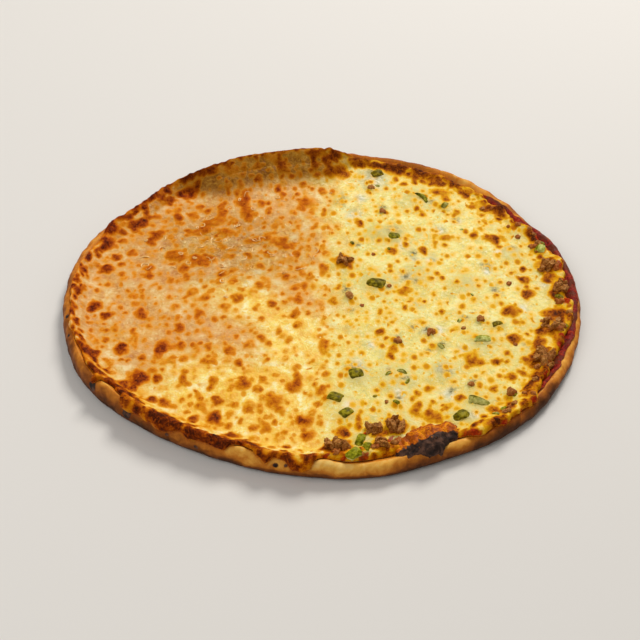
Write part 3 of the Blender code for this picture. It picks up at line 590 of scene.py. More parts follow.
def cheese_stop(angle, section):
    """Distance along the section where the cheese ends."""
    over = between(CHEESE_OVER, angle)
    for span, reach in EDGE_RAGGED:
        ragged = 1.0 + EDGE_RAGGED_OPEN * openness(angle)
        over = over + reach * wander(angle, span, 3.0) * ragged
    return crest_run(section) + over


def collars():
    """Place, height and radius of every rise in the cheese."""
    rises = list(BURIED)
    for piece in PEPPERS + SAUSAGES:
        radius = max(piece.length, piece.width) / 2
        rises.append((piece.x, piece.y, COLLAR, radius + COLLAR_REACH))
    rises.append((RING_X, RING_Y, COLLAR, RING_RADIUS + COLLAR_REACH))
    return rises + [(x, y, width * 0.35, width * 0.6) for x, y, width, _ in CRUMBS]


RISES = collars()


def topped_share(x, y, ease=DIVIDE_EASE):
    """0 on the plain half and 1 on the topped half, with an uneven line between."""
    line = DIVIDE_X + 7.0 * ripple(0.0, y, 2.0, 24.0) + 0.3 * ease * ripple(x, y, 9.0, 9.0)
    return eased((x - line) / ease + 0.5)


def meniscus(x, y):
    """Cheese drawn up round the edge of every topping."""
    total = 0.0
    for piece in PEPPERS + SAUSAGES:
        along, across = turned(x - piece.x, y - piece.y, math.radians(piece.turn))
        outward = np.hypot(along / (piece.length / 2), across / (piece.width / 2)) - 1.0
        away = outward * min(piece.length, piece.width) / 2
        total = total + 0.75 * bell(away / 1.3) * (0.75 + 0.5 * ripple(x, y, 6.0, 4.0))
    return total


def thickness(x, y, inward):
    """Thickness of the cheese away from its edge, with all its unevenness."""
    topped = topped_share(x, y)
    depth = mixed(CHEESE_PLAIN, CHEESE_TOPPED, topped) + 0.7 * ripple(x, y, 0.0, 24.0)
    for rise_x, rise_y, height, radius in RISES:
        depth = depth + height * bell(np.hypot(x - rise_x, y - rise_y) / radius)
    swell = ripples(x, y, SWELLS)
    wrinkles = 0.26 * (0.5 - abs(rough(x, y, 3.0, 4.5)))
    lumps = 0.5 * np.maximum(ripple(x, y, 4.0, 5.5), 0) + 0.25 * ripple(x, y, 5.0, 2.6)
    near_rim = bell((inward - 5.0) / 6.0) * (1 - 0.4 * topped)
    return depth + swell + meniscus(x, y) + (1 - 0.6 * topped) * wrinkles + near_rim * lumps


# ---------------------------------------------------------------- browned spots

def pale_streak(x, y, width, foot):
    """1 along the streak on the plain half where the cheese stayed pale."""
    along = eased((y - foot) / 30) * eased((25 - y) / 30)
    return bell((x * 0.66 + y * 0.75 + 37.0) / width) * along


def spot_crowding(x, y):
    """How much browning there is at a place, 0 to 1."""
    clouds = 0.5 + ripples(x, y, CLOUDS)
    rim = 0.15 * eased((np.hypot(x, y) - 95.0) / 50.0)
    plain = 0.55 + 0.35 * clouds + rim - 0.65 * pale_streak(x, y, 15.0, -75)
    return np.clip(mixed(plain, 0.5 + 0.45 * clouds + rim, topped_share(x, y)), 0.04, 1.0)


def scattered():
    """The larger spots at their places, and others at random between them."""
    spots = []
    for x, y, size, dark, *shape in BIG_SPOTS:
        longer, turn = shape or (1.0, 0.0)
        spots.append((x, y, size, dark, longer, math.radians(turn)))
    for half, (tries, gap, least, most, pale, dark) in enumerate((PLAIN_SPOTS, TOPPED_SPOTS)):
        radius = SPOT_FIELD * np.sqrt(random.random_sample(tries))
        turn = math.tau * random.random_sample(tries)
        x, y = radius * np.cos(turn), SPOT_OVAL * radius * np.sin(turn)
        draw = random.random_sample((tries, 4))
        fits = (abs(topped_share(x, y) - half) < 0.5) & (draw[:, 0] < spot_crowding(x, y))
        for x, y, (chance, large, loose, shade) in zip(x[fits], y[fits], draw[fits]):
            size = mixed(least, most, large ** 1.8)
            others_x, others_y, others_size = np.array(spots).T[:3]
            clear = np.hypot(others_x - x, others_y - y) - others_size - size
            if clear.min() > gap * (2.4 * loose - 0.6):
                longer = 1.0 + 0.6 * chance * loose
                spots.append((x, y, size, mixed(pale, dark, shade), longer, math.pi * shade))
    return spots


def rim_spots():
    """Spots that come one after another along the rim."""
    spots = []
    angle = 0.0
    while angle < 360.0:
        at = np.array([angle])
        width, crowd, least, most, dark = (
            float(between([(row[0], row[column]) for row in RIM_BROWNING], at)[0])
            for column in range(1, 6))
        draw = random.random_sample(5)
        size = mixed(least, most, draw[0] ** 1.4)
        section = section_at(at)
        run = cheese_stop(at, section) - size * 0.6 - width * draw[1] ** 1.5
        x, y, _ = placed(at, run, 0.0)[0]
        turn = math.radians(angle + 90 + 50 * (draw[2] - 0.5))
        spots.append((x, y, size, dark * (0.6 + 0.5 * draw[3]), 1.0 + 0.8 * draw[2], turn))
        angle += (0.5 + draw[4]) / crowd
    return spots


def with_satellites(spots):
    """Smaller spots that have run into the larger ones make them uneven."""
    result = list(spots)
    for x, y, size, dark, _, _ in spots:
        for _ in range(int(size > 2.2) + int(size > 3.4)):
            draw = random.random_sample(3)
            away, aim = size * (0.6 + 0.4 * draw[0]), math.tau * draw[1]
            result.append((x + away * math.cos(aim), y + SPOT_TALL * away * math.sin(aim),
                           size * (0.4 + 0.25 * draw[2]), dark * 0.9, 1.0, 0.0))
    return result


SPOTS = with_satellites(scattered() + rim_spots())


def spot_share(x, y, spot_x, spot_y, radius, longer, turn):
    """The points near a spot, and how far out each is: 0 in its middle, 1 at its edge."""
    near = np.flatnonzero((abs(x - spot_x) < 4 * radius) & (abs(y - spot_y) < 4 * radius))
    tall = 1.0 + (SPOT_TALL - 1.0) * float(eased((140.0 - math.hypot(spot_x, spot_y)) / 25.0))
    along, across = turned(x[near] - spot_x, (y[near] - spot_y) / tall, turn)
    return near, np.hypot(along / math.sqrt(longer), across * math.sqrt(longer)) / radius


def browning(x, y):
    """Three fields over the cheese laid flat: how browned it is, 0 to 1, the halo
    round each spot, and its blistering."""
    warp_x, warp_y = x + ripples(x, y, SPOT_WARPS[:2]), y + ripples(x, y, SPOT_WARPS[2:])
    unbrowned, halo, blister = np.ones(x.shape), np.zeros(x.shape), np.zeros(x.shape)
    for number, (spot_x, spot_y, radius, dark, longer, turn) in enumerate(SPOTS):
        near, away = spot_share(warp_x, warp_y, spot_x, spot_y, radius, longer, turn)
        hollow = HOLLOW * (number % 3 == 0) * (dark < 0.5) * bell(away / 0.5)
        shade = min(dark, DARKEST) * np.exp(-SPOT_EDGE * away ** 3)
        unbrowned[near] *= 1.0 - shade * (1.0 - hollow)
        ring = bell(np.maximum(away - 0.8, 0) * radius / HALO_REACH)
        halo[near] = np.maximum(halo[near], ring)
        dome = np.clip(1 - away ** 2, 0, 1) * min(0.22 * radius, 0.8)
        blister[near] = np.maximum(blister[near], dome)
    return 1.0 - unbrowned, halo, blister


def patches(x, y, spots):
    """1 in the middle of each patch, falling softly to 0 round it."""
    warp_x, warp_y = x + ripples(x, y, PATCH_WARPS[:1]), y + ripples(x, y, PATCH_WARPS[1:])
    total = np.zeros(x.shape)
    for *spot, turn in spots:
        near, away = spot_share(warp_x, warp_y, *spot, math.radians(turn))
        total[near] = np.maximum(total[near], np.exp(-away ** 2 * 1.1))
    return total


# ---------------------------------------------------------------- making meshes

def add_object(name, data):
    item = bpy.data.objects.new(name, data)
    bpy.context.scene.collection.objects.link(item)
    return item


def make_mesh(name, material, points, faces, fields):
    """An object from points in millimetres, with a number at each point per field."""
    mesh = bpy.data.meshes.new(name)
    mesh.from_pydata(((points + SLIDE) * MM).tolist(), [], faces)
    for field, values in fields.items():
        attribute = mesh.attributes.new(field, "FLOAT", "POINT")
        values = np.broadcast_to(values, len(points)).astype(np.float32)
        attribute.data.foreach_set("value", np.ascontiguousarray(values))
    mesh.shade_smooth()
    mesh.materials.append(material)
    mesh.update()
    return add_object(name, mesh)


def hand_over(item, slot, *nodes):
    """The piece moves with the pizza, and the CAD nodes given are hidden."""
    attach(item, "root")
    if nodes:
        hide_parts(*nodes)


def band_faces(rows, columns):
    """Quads between closed rings of points, each ring counted anticlockwise."""
    row, column = np.meshgrid(np.arange(rows - 1), np.arange(columns), indexing="ij")
    following = (column + 1) % columns
    corners = (row * columns + column, row * columns + following,
               (row + 1) * columns + following, (row + 1) * columns + column)
    return np.stack(corners, axis=-1).reshape(-1, 4).tolist()


def fan_faces(ring, tip):
    """Triangles from a ring of points to one tip."""
    return [(here, after, tip) for here, after in zip(ring, np.roll(ring, -1).tolist())]


def flipped(faces):
    return [tuple(reversed(face)) for face in faces]


def closed_faces(rows, columns):
    """Rings of points, closed at both ends by the two tips that come after them."""
    count = rows * columns
    faces = band_faces(rows, columns) + flipped(fan_faces(range(columns), count))
    return faces + fan_faces(range(count - columns, count), count + 1)


def shifted(faces, first):
    """The faces of a piece whose points come after others."""
    return [tuple(index + first for index in face) for face in faces]


def together(parts):
    """Many small pieces as one: each has its points, faces and fields."""
    points, faces, fields = zip(*parts)
    starts = np.cumsum([0] + [len(each) for each in points]).tolist()
    joined = {name: np.concatenate([np.broadcast_to(each[name], len(own))
                                    for each, own in zip(fields, points)]) for name in fields[0]}
    return np.concatenate(points), sum(map(shifted, faces, starts), []), joined


# ---------------------------------------------------------------- materials

def linear(red, green, blue):
    """A colour as seen on screen, from 0 to 255, as light."""
    def one(value):
        value /= 255.0
        return value / 12.92 if value <= 0.04045 else ((value + 0.055) / 1.055) ** 2.4
    return one(red), one(green), one(blue), 1.0


class Signal:
    """What one of a material's nodes gives, and the arithmetic on it."""

    def __init__(self, looks, socket):
        self.looks = looks
        self.socket = socket

    def __add__(self, other):
        return self.looks.math("ADD", self, other)

    def __sub__(self, other):
        return self.looks.math("SUBTRACT", self, other)

    def __mul__(self, other):
        return self.looks.math("MULTIPLY", self, other)

    def or_more(self, other):
        return self.looks.math("MAXIMUM", self, other)

    def clamped(self):
        """Kept from 0 to 1."""
        self.socket.node.use_clamp = True
        return self

    def scaled(self, low, high, to_low=0.0, to_high=1.0, kind="LINEAR"):
        """Moved from one range to another and held at its ends."""
        node = self.looks.add("ShaderNodeMapRange", {
            "Value": self, "From Min": low, "From Max": high, "To Min": to_low, "To Max": to_high})
        node.interpolation_type = kind
        return Signal(self.looks, node.outputs[0])

    def eased(self, *ranges):
        return self.scaled(*ranges, kind="SMOOTHSTEP")

    def ramp(self, *stops):
        """Colours that follow the value: each stop is a value and a colour."""
        node = self.looks.add("ShaderNodeValToRGB", {"Fac": self})
        elements = node.color_ramp.elements
        while len(elements) < len(stops):
            elements.new(0.5)
        for element, (position, colour) in zip(elements, stops):
            element.position = position
            element.color = linear(*colour)
        return Signal(self.looks, node.outputs["Color"])


class Looks:
    """A material's nodes, added one by one."""

    def __init__(self, name):
        self.material = bpy.data.materials.new(name)
        self.material.use_nodes = True
        self.tree = self.material.node_tree
        self.shader = self.tree.nodes["Principled BSDF"]
        self.known = {}
        self.place = Signal(self, self.add("ShaderNodeTexCoord", {}).outputs["Object"])

    def put(self, socket, value):
        if isinstance(value, Signal):
            self.tree.links.new(value.socket, socket)
        else:
            socket.default_value = value

    def add(self, kind, inputs):
        node = self.tree.nodes.new(kind)
        for name, value in inputs.items():
            self.put(node.inputs[name], value)
        return node

    def field(self, name):
        """One of the mesh's fields, read by one node."""
        if name not in self.known:
            self.known[name] = self.add("ShaderNodeAttribute", {})
            self.known[name].attribute_name = name
        return Signal(self, self.known[name].outputs["Fac"])

    def fields(self, names):
        return [self.field(name) for name in names.split()]

    def noise(self, size, detail=3.0, roughness=0.55, warp=0.0):
        """Noise with bumps about size millimetres across, from 0 to 1."""
        node = self.add("ShaderNodeTexNoise", {
            "Vector": self.place, "Scale": 1.0 / (size * MM), "Detail": detail,
            "Roughness": roughness, "Distortion": warp})
        return Signal(self, node.outputs["Fac"])

    def vector(self, operation, *values):
        node = self.add("ShaderNodeVectorMath", dict(enumerate(values)))
        node.operation = operation
        return Signal(self, node.outputs["Vector"])

    def swayed(self, size, reach):
        """Places moved to and fro by noise, and drawn out along Y as the spots are."""
        node = self.add("ShaderNodeTexNoise", {"Vector": self.place, "Scale": 1.0 / (size * MM)})
        sway = self.vector("MULTIPLY_ADD", Signal(self, node.outputs["Color"]),
                           (2 * reach * MM,) * 3, (-reach * MM,) * 3)
        moved_place = self.vector("ADD", self.place, sway)
        return self.vector("MULTIPLY", moved_place, (1.0, 1.0 / SPOT_TALL, 1.0))

    def dots(self, cell, least, most, crowd):
        """Small round spots at random: millimetres inward from the edge, and a shade."""
        node = self.add("ShaderNodeTexVoronoi", {
            "Vector": self.swayed(2.0, 0.5), "Scale": 1.0 / (cell * MM), "Randomness": 0.9})
        node.voronoi_dimensions = "2D"
        parts = self.add("ShaderNodeSeparateColor", {0: Signal(self, node.outputs["Color"])})
        size, chance, shade = (Signal(self, socket) for socket in parts.outputs)
        radius = self.math("POWER", size, 2.0).scaled(0.0, 1.0, least, most)
        away = self.math("MULTIPLY_ADD", Signal(self, node.outputs["Distance"]), cell, DOT_MARGIN)
        shown = self.math("LESS_THAN", chance, crowd)
        return (radius + DOT_MARGIN) * shown - away, shade

    def lines(self, size, width, warp):
        """Thin curling lines: 1 on each line and 0 between them."""
        wave = self.noise(size, 1.0, 0.5, warp)
        return self.math("ABSOLUTE", wave - 0.5).scaled(0.0, width, 1.0, 0.0)

    def math(self, operation, first, second=0.0, third=0.0):
        node = self.add("ShaderNodeMath", {0: first, 1: second, 2: third})
        node.operation = operation
        return Signal(self, node.outputs[0])

    def mix(self, share, *colours):
        """From the first colour to the second."""
        node = self.add("ShaderNodeMix", {"Factor": share})
        node.data_type = "RGBA"
        for socket, value in zip(node.inputs[6:8], colours):
            self.put(socket, linear(*value) if isinstance(value, tuple) else value)
        return Signal(self, node.outputs[2])

    def bump(self, height, distance, strength=1.0):
        node = self.add("ShaderNodeBump", {
            "Distance": distance * MM, "Strength": strength, "Height": height})
        self.put(self.shader.inputs["Normal"], Signal(self, node.outputs["Normal"]))

    def surface(self, colour, roughness, soft, reach, shine):
        for name, value in (("Base Color", colour), ("Roughness", roughness),
                            ("Specular IOR Level", shine), ("Subsurface Weight", soft),
                            ("Subsurface Radius", (1.0, 0.6, 0.3)),
                            ("Subsurface Scale", reach * MM)):
            self.put(self.shader.inputs[name], value)
        return self.material


def cheese_base(looks, mottle, middle, broad, oil, curls):
    """The cheese's colour where it hasn't browned, on both halves."""
    topped, clear, cream, curly, grey, dim = looks.fields("topped clear cream curly grey dim")
    plain = mottle.ramp((0.38, (196, 124, 48)), (0.46, (216, 158, 80)), (0.53, (228, 182, 108)),
                        (0.62, (238, 206, 144)))
    pale = mottle.ramp((0.38, (240, 172, 34)), (0.45, (248, 202, 66)), (0.51, (252, 224, 112)),
                       (0.59, (254, 244, 182)))
    plain = looks.mix(cream, plain, pale)
    oily = looks.mix(cream, (222, 144, 44), (242, 178, 40))
    plain = looks.mix(oil.scaled(0.5, 0.66, 0.0, 0.6), plain, oily)
    # The curl lines are sunk by the bump and coloured brown: partly browning, partly painted shade
    # in their creases
    plain = looks.mix(curls * (curly * 0.75), plain, (164, 92, 22))
    topping = broad.ramp((0.36, (218, 198, 94)), (0.48, (238, 218, 108)), (0.6, (246, 232, 146)))
    # On the topped half: golden oily patches, near-white patches that are painted highlights, and
    # duller grey-green ones
    for share, colour in ((oil.scaled(0.47, 0.62, 0.0, 0.7), (246, 202, 46)),
                          (middle.scaled(0.53, 0.66, 0.0, 0.7), (252, 244, 186)),
                          (middle.scaled(0.46, 0.36, 0.0, 0.55), (198, 188, 112))):
        topping = looks.mix(share, topping, colour)
    # Painted reflection: whitish patches that stand for glossy reflections on the cheese
    glint_colour = oil.ramp((0.38, (164, 162, 116)), (0.5, (206, 202, 164)), (0.6, (242, 238, 212)))
    drab = middle.ramp((0.38, (92, 84, 30)), (0.5, (134, 124, 56)), (0.62, (178, 162, 104)))
    veil = (clear * middle.scaled(0.3, 0.6, 0.3, 1.0)).clamped()
    colour = looks.mix(veil, looks.mix(topped, plain, topping), (196, 182, 104))
    colour = looks.mix((grey * 0.95).clamped(), colour, glint_colour)
    return looks.mix((dim * middle.scaled(0.35, 0.65, 1.3, 0.7)).clamped(), colour, drab)


def cheese_looks():
    looks = Looks("baked_cheese")
    toast, halo, steep, red = looks.fields("toast halo steep red")
    topped, cream, curly = looks.fields("topped cream curly")
    fine = looks.noise(0.8, 2.0)
    middle = looks.noise(2.2, 4.0, 0.62, 0.8)
    broad = looks.noise(10.0, 3.0, 0.6, 0.5)
    oil = looks.noise(6.0, 3.0, 0.6, 1.2)
    curls = looks.lines(2.6, 0.09, 2.8)
    mottle = middle * 0.4 + broad * 0.6
    colour = cheese_base(looks, mottle, middle, broad, oil, curls)

    crowd = looks.noise(18.0, 2.0).scaled(0.36, 0.62, 0.2, 0.95)
    inward, shade = looks.dots(6.2, 0.5, 1.7, crowd)
    small = inward.eased(-1.5, 1.0) * shade.scaled(0.0, 1.0, 0.18, 0.52)
    speckled, faint = looks.dots(3.8, 0.2, 0.8, crowd)
    tiny = speckled.eased(-1.1, 0.6) * faint.scaled(0.0, 1.0, 0.04, 0.22)
    small = small.or_more(tiny) * topped.scaled(0.0, 1.0, 0.5, 1.0)
    brown = toast * middle.scaled(0.32, 0.68, 0.6, 1.22)
    brown = brown * steep.scaled(0.0, 1.0, 1.0, 0.8)
    brown = brown * fine.scaled(0.2, 0.8, 0.88, 1.12)
    brown = brown + small - brown * small

    glow = inward.eased(-3.4, 0.6) * topped
    warm = halo.or_more(glow) * middle.scaled(0.35, 0.6, 0.5, 1.0)
    warmth = looks.mix(topped, looks.mix(cream, (224, 144, 34), (248, 184, 22)), (248, 188, 26))
    colour = looks.mix(warm, colour, warmth)
    # Painted shade: on the curl's inner slope the cheese is coloured a darker khaki, with darker
    # spots, and its browning is toned down above
    curl_shade_colour = mottle.ramp((0.4, (122, 70, 4)), (0.52, (158, 104, 16)), (0.64, (184, 136, 44)))
    colour = looks.mix(steep, colour, curl_shade_colour)
    plain_spots = brown.ramp(
        (0.0, (240, 176, 56)), (0.14, (230, 146, 24)), (0.3, (212, 116, 6)), (0.48, (184, 86, 0)),
        (0.66, (148, 56, 0)), (0.84, (108, 34, 2)), (1.0, (70, 22, 4)))
    topped_spots = brown.ramp(
        (0.0, (248, 206, 56)), (0.14, (240, 184, 20)), (0.3, (220, 150, 4)), (0.48, (196, 114, 0)),
        (0.66, (156, 76, 0)), (0.84, (110, 46, 2)), (1.0, (66, 26, 6)))
    curl_shade_spots = brown.ramp((0.0, (158, 104, 24)), (0.25, (146, 86, 12)), (0.45, (112, 50, 4)),
                             (0.8, (66, 24, 6)))
    spots = looks.mix(topped.or_more(cream * 0.35), plain_spots, topped_spots)
    spots = looks.mix(steep * 0.75, spots, curl_shade_spots)
    colour = looks.mix(brown.eased(0.03, 0.17), colour, spots)
    bleed = (red + middle.scaled(0.3, 0.7, -0.2, 0.2)).eased(0.25, 0.6, 0.0, 0.9)
    bled = middle.ramp((0.38, (116, 14, 8)), (0.52, (172, 34, 8)), (0.66, (206, 84, 12)))
    colour = looks.mix(bleed, colour, bled)

    looks.bump(middle + fine * 0.5 - curls * (curly * 0.7), 0.8, 0.7)
    edge = brown - 0.2
    dull = edge.scaled(-0.2, 0.02, 0.38, 0.04) * steep.scaled(0.0, 1.0, 1.0, 0.25)
    roughness = (broad - curly * 0.3).scaled(0.1, 0.7, 0.24, 0.46)
    roughness = roughness + edge.scaled(-0.1, 0.3, 0.0, 0.14)
    return looks.surface(colour, roughness, 0.05, 1.2, dull)


def crust_looks():
    looks = Looks("baked_dough")
    bake, char, stain = looks.fields("bake char stain")
    fine, broad = looks.noise(1.2, 3.0), looks.noise(13.0, 2.0)
    middle = looks.noise(4.5, 3.0, 0.55, 0.5)
    # The dough's colour follows its baking and the painted light and shade carried with it
    dough = (bake + (middle + broad).scaled(0.6, 1.4, -0.22, 0.22)).ramp(
        (0.0, (252, 210, 120)), (0.25, (238, 174, 72)), (0.48, (202, 122, 36)),
        (0.72, (140, 76, 24)), (1.0, (76, 42, 20)))
    greasy = middle.ramp((0.38, (150, 64, 0)), (0.48, (206, 104, 0)), (0.62, (236, 146, 10)))
    greasy = looks.mix(looks.lines(4.0, 0.06, 2.2), greasy, (132, 44, 0))
    oily = (stain * middle.scaled(0.3, 0.6, 0.75, 1.0)).clamped()
    dough = looks.mix(oily, dough, greasy)
    flakes = looks.noise(2.8, 2.0, 0.5).scaled(0.3, 0.7, 0.3, 1.2)
    burnt = char * (flakes + middle.scaled(0.3, 0.7, 0.1, 0.5))
    black = middle.ramp((0.35, (34, 24, 20)), (0.48, (58, 40, 32)), (0.62, (104, 72, 56)))
    singed = looks.mix(burnt.eased(0.05, 0.45, 0.0, 0.6), dough, (128, 58, 10))
    colour = looks.mix(burnt.eased(0.35, 0.6), singed, black)
    looks.bump(middle + fine * 0.25, 0.5, 0.5)
    return looks.surface(colour, middle.scaled(0.3, 0.7, 0.5, 0.68), 0.05, 1.0, 0.1)


def sauce_looks():
    looks = Looks("tomato_sauce")
    pulp = looks.noise(2.6, 4.0, 0.65, 0.8)
    dried = looks.noise(8.0, 3.0)
    colour = pulp.ramp((0.35, (84, 8, 8)), (0.5, (136, 22, 10)), (0.68, (182, 62, 18)))
    colour = looks.mix(dried.scaled(0.44, 0.58), colour, (104, 42, 16))
    looks.bump(pulp, 0.9, 0.9)
    return looks.surface(colour, pulp.scaled(0.3, 0.7, 0.3, 0.6), 0.08, 0.8, 0.1)


def pepper_looks():
    looks = Looks("baked_pepper")
    skin, tone = looks.fields("skin tone")
    cloud, fine = looks.noise(2.2, 3.0, 0.6), looks.noise(0.9, 2.0)
    dull = cloud.ramp((0.38, (78, 62, 2)), (0.52, (118, 98, 8)), (0.64, (158, 134, 26)))
    fresh = cloud.ramp((0.38, (98, 100, 2)), (0.52, (140, 140, 8)), (0.64, (178, 172, 40)))
    flesh = looks.mix(tone, cloud.ramp((0.4, (118, 104, 30)), (0.6, (168, 152, 70))),
                      cloud.ramp((0.4, (164, 168, 66)), (0.6, (214, 214, 128))))
    cut = skin + cloud.scaled(0.0, 1.0, -0.3, 0.3)
    colour = looks.mix(cut.eased(0.3, 0.6), flesh, looks.mix(tone, dull, fresh))
    looks.bump(cloud + fine * 0.5, 0.4, 0.5)
    return looks.surface(colour, cloud.scaled(0.3, 0.7, 0.34, 0.55), 0.05, 0.8, 0.07)


def sausage_looks():
    looks = Looks("browned_sausage")
    crisp, grease = looks.fields("crisp grease")
    fibre = looks.noise(1.3, 4.0, 0.7, 1.2)
    grain = looks.noise(3.5, 2.0)
    # The meat's lightest colours stand partly for painted highlights
    meat = (fibre * 0.7 + grain * 0.3).ramp(
        (0.34, (106, 52, 6)), (0.46, (158, 94, 26)), (0.55, (192, 128, 54)),
        (0.68, (228, 176, 110)))
    meat = looks.mix(grease * 0.55, meat, (176, 74, 8))
    colour = looks.mix(crisp * 0.5, meat, (66, 30, 8))
    looks.bump(fibre, 0.6, 0.8)
    return looks.surface(colour, grain.scaled(0.3, 0.7, 0.36, 0.6), 0.06, 0.8, 0.14)


def shred_looks():
    looks = Looks("glossy_shreds")
    drift = looks.noise(3.0, 3.0)
    colour = looks.mix(looks.field("golden"), (246, 204, 126), (228, 162, 70))
    colour = looks.mix(drift.scaled(0.45, 0.7, 0.0, 0.5), colour, (184, 98, 14))
    return looks.surface(colour, drift.scaled(0.3, 0.7, 0.16, 0.32), 0.03, 0.8, 0.6)


# ---------------------------------------------------------------- the cheese

def edge_toast(x, y, inward, clumps, front_left, back, angle):
    """Browning along the cheese's edge and round the sausage."""
    reach = 1.3 + 3.0 * front_left + 1.6 * back
    lip = bell(np.maximum(inward, 0) / reach) * (0.3 + 0.22 * front_left + 0.18 * back)
    lip = lip * (1.0 + 0.7 * clumps)
    for piece in SAUSAGES:
        away = np.hypot(x - piece.x, y - piece.y) - 0.22 * (piece.length + piece.width)
        ring = 0.45 * bell(np.maximum(away, 0) / 2.4)
        lip = np.maximum(lip, ring * (1.0 + 0.6 * clumps))
    glaze = 0.5 * bell(np.maximum(inward, 0) / 13.0) * eased(clumps + 0.25)
    lip = np.maximum(lip, glaze * stretch(angle, *GLAZED))
    return np.clip(lip, 0.0, 0.9)


def cheese_fields(x, y, angle, run, section):
    """What the cheese's colours and relief follow, at every point of its top."""
    inward = cheese_stop(angle, section) - run
    topped = topped_share(x, y, 44.0)
    flat_x, flat_y, _ = placed(angle, run, 0.0).T
    toast, halo, blister = browning(flat_x, flat_y)
    red, grey, dim = (patches(flat_x, flat_y, table)
                      for table in (RED_SPOTS, GLINT_PATCHES, DIM_SPOTS))
    front_left = stretch(angle, *FRONT_LEFT)
    back = stretch(angle, *BACK)
    clumps = ripples(x, y, CLUMPS)
    lip = edge_toast(x, y, inward, clumps, front_left, back, angle)
    toast = 1.0 - (1.0 - toast) * (1.0 - lip)
    reach = mixed(4.5, 8.0, np.maximum(front_left, 0.6 * back))
    reach = reach + 7.0 * topped * stretch(angle, *WIDE_HALO)
    halo = np.maximum(halo, bell(np.maximum(inward, 0) / reach) * (0.8 + 0.5 * clumps))
    clear = 0.9 * np.clip(ripples(x, y, CLEARINGS) - 0.25, 0, 1)
    for rise_x, rise_y, _, radius in RISES:
        away = np.hypot(x - rise_x, y - rise_y) / (radius * 1.1)
        clear = np.maximum(clear, 0.85 * bell(away))
    cream = 0.9 * pale_streak(x, y, 17.0, -80) + 0.95 * eased((-y - 12.0 + 0.3 * x) / 60.0)
    cream = cream + 0.35 * ripple(x, y, 51.0, 28.0) + 0.35 * eased((x + 60) / 60)
    curly = (0.8 + 0.5 * clumps) * (1 - topped)
    for place, middle, reach in zip((x, y), CURLY_MIDDLE, CURLY_REACH):
        curly = curly * bell((place - middle) / reach)
    # Painted shade: the cheese on the curl's inner slope, which faces the front, is marked to be
    # coloured darker
    up_curl = eased((run - ramp_foot(section) + 2.0) / (0.6 * section.ramp))
    steep = 0.97 * stretch(angle, *SHADED_CURL) * up_curl * (1 - 0.3 * topped)
    fields = dict(toast=toast, halo=np.clip(halo, 0, 1), topped=topped, clear=clear * topped,
                  cream=np.clip(cream, 0, 1), curly=np.clip(curly, 0, 1), steep=steep,
                  red=red, grey=grey, dim=dim)
    return fields, blister, inward


def foot_fill(angle, run, section):
    """Cheese that rounds off the corner at the foot of the ramp."""
    beyond = run - ramp_foot(section)
    rise = (section.height - BASE) / ramp_run(section)
    reach = mixed(FOOT_FILL, CURL_FOOT_FILL, stretch(angle, CURL_START, CURL_END, 2 * CURL_EASE))
    return rise * ((beyond + np.hypot(beyond, reach)) / 2 - np.maximum(beyond, 0.0))


def cheese_surface(x, y, angle, run, section):
    """Points on the cheese's top, with the fields for its colours."""
    fields, blister, inward = cheese_fields(x, y, angle, run, section)
    share = np.clip(inward / CHEESE_ROUND, 0.0, 1.0)
    rounded = np.sqrt(share * (2.0 - share))
    depth = thickness(x, y, inward) + blister + foot_fill(angle, run, section)
    lift = mixed(CHEESE_EDGE, depth, rounded) + cheese_bottom(section, run)
    return under_ceiling(placed(angle, *on_section(section, run, lift))), fields


def under_ceiling(points):
    """Level off what would stand higher than the pizza."""
    over = np.maximum(points[:, 2] - CEILING, 0.0)
    points[:, 2] += CEILING_GIVE * np.tanh(over / CEILING_GIVE) - over
    return points


def run_of(radius, section):
    """Distance along the section, from a distance in plan inside the crest."""
    foot = ramp_foot(section)
    on_ramp = foot + (radius - foot) / section.ramp * ramp_run(section)
    return np.where(radius > foot, on_ramp, radius)


def cheese_top(x, y):
    """Height of the cheese over places in plan."""
    x, y = np.atleast_1d(np.asarray(x, float)), np.atleast_1d(np.asarray(y, float))
    angle = np.degrees(np.arctan2(y, x))
    section = section_at(angle)
    run = np.minimum(run_of(np.hypot(x, y), section), cheese_stop(angle, section) - CHEESE_EDGE)
    points, _ = cheese_surface(x, y, angle, run, section)
    return points[:, 2]


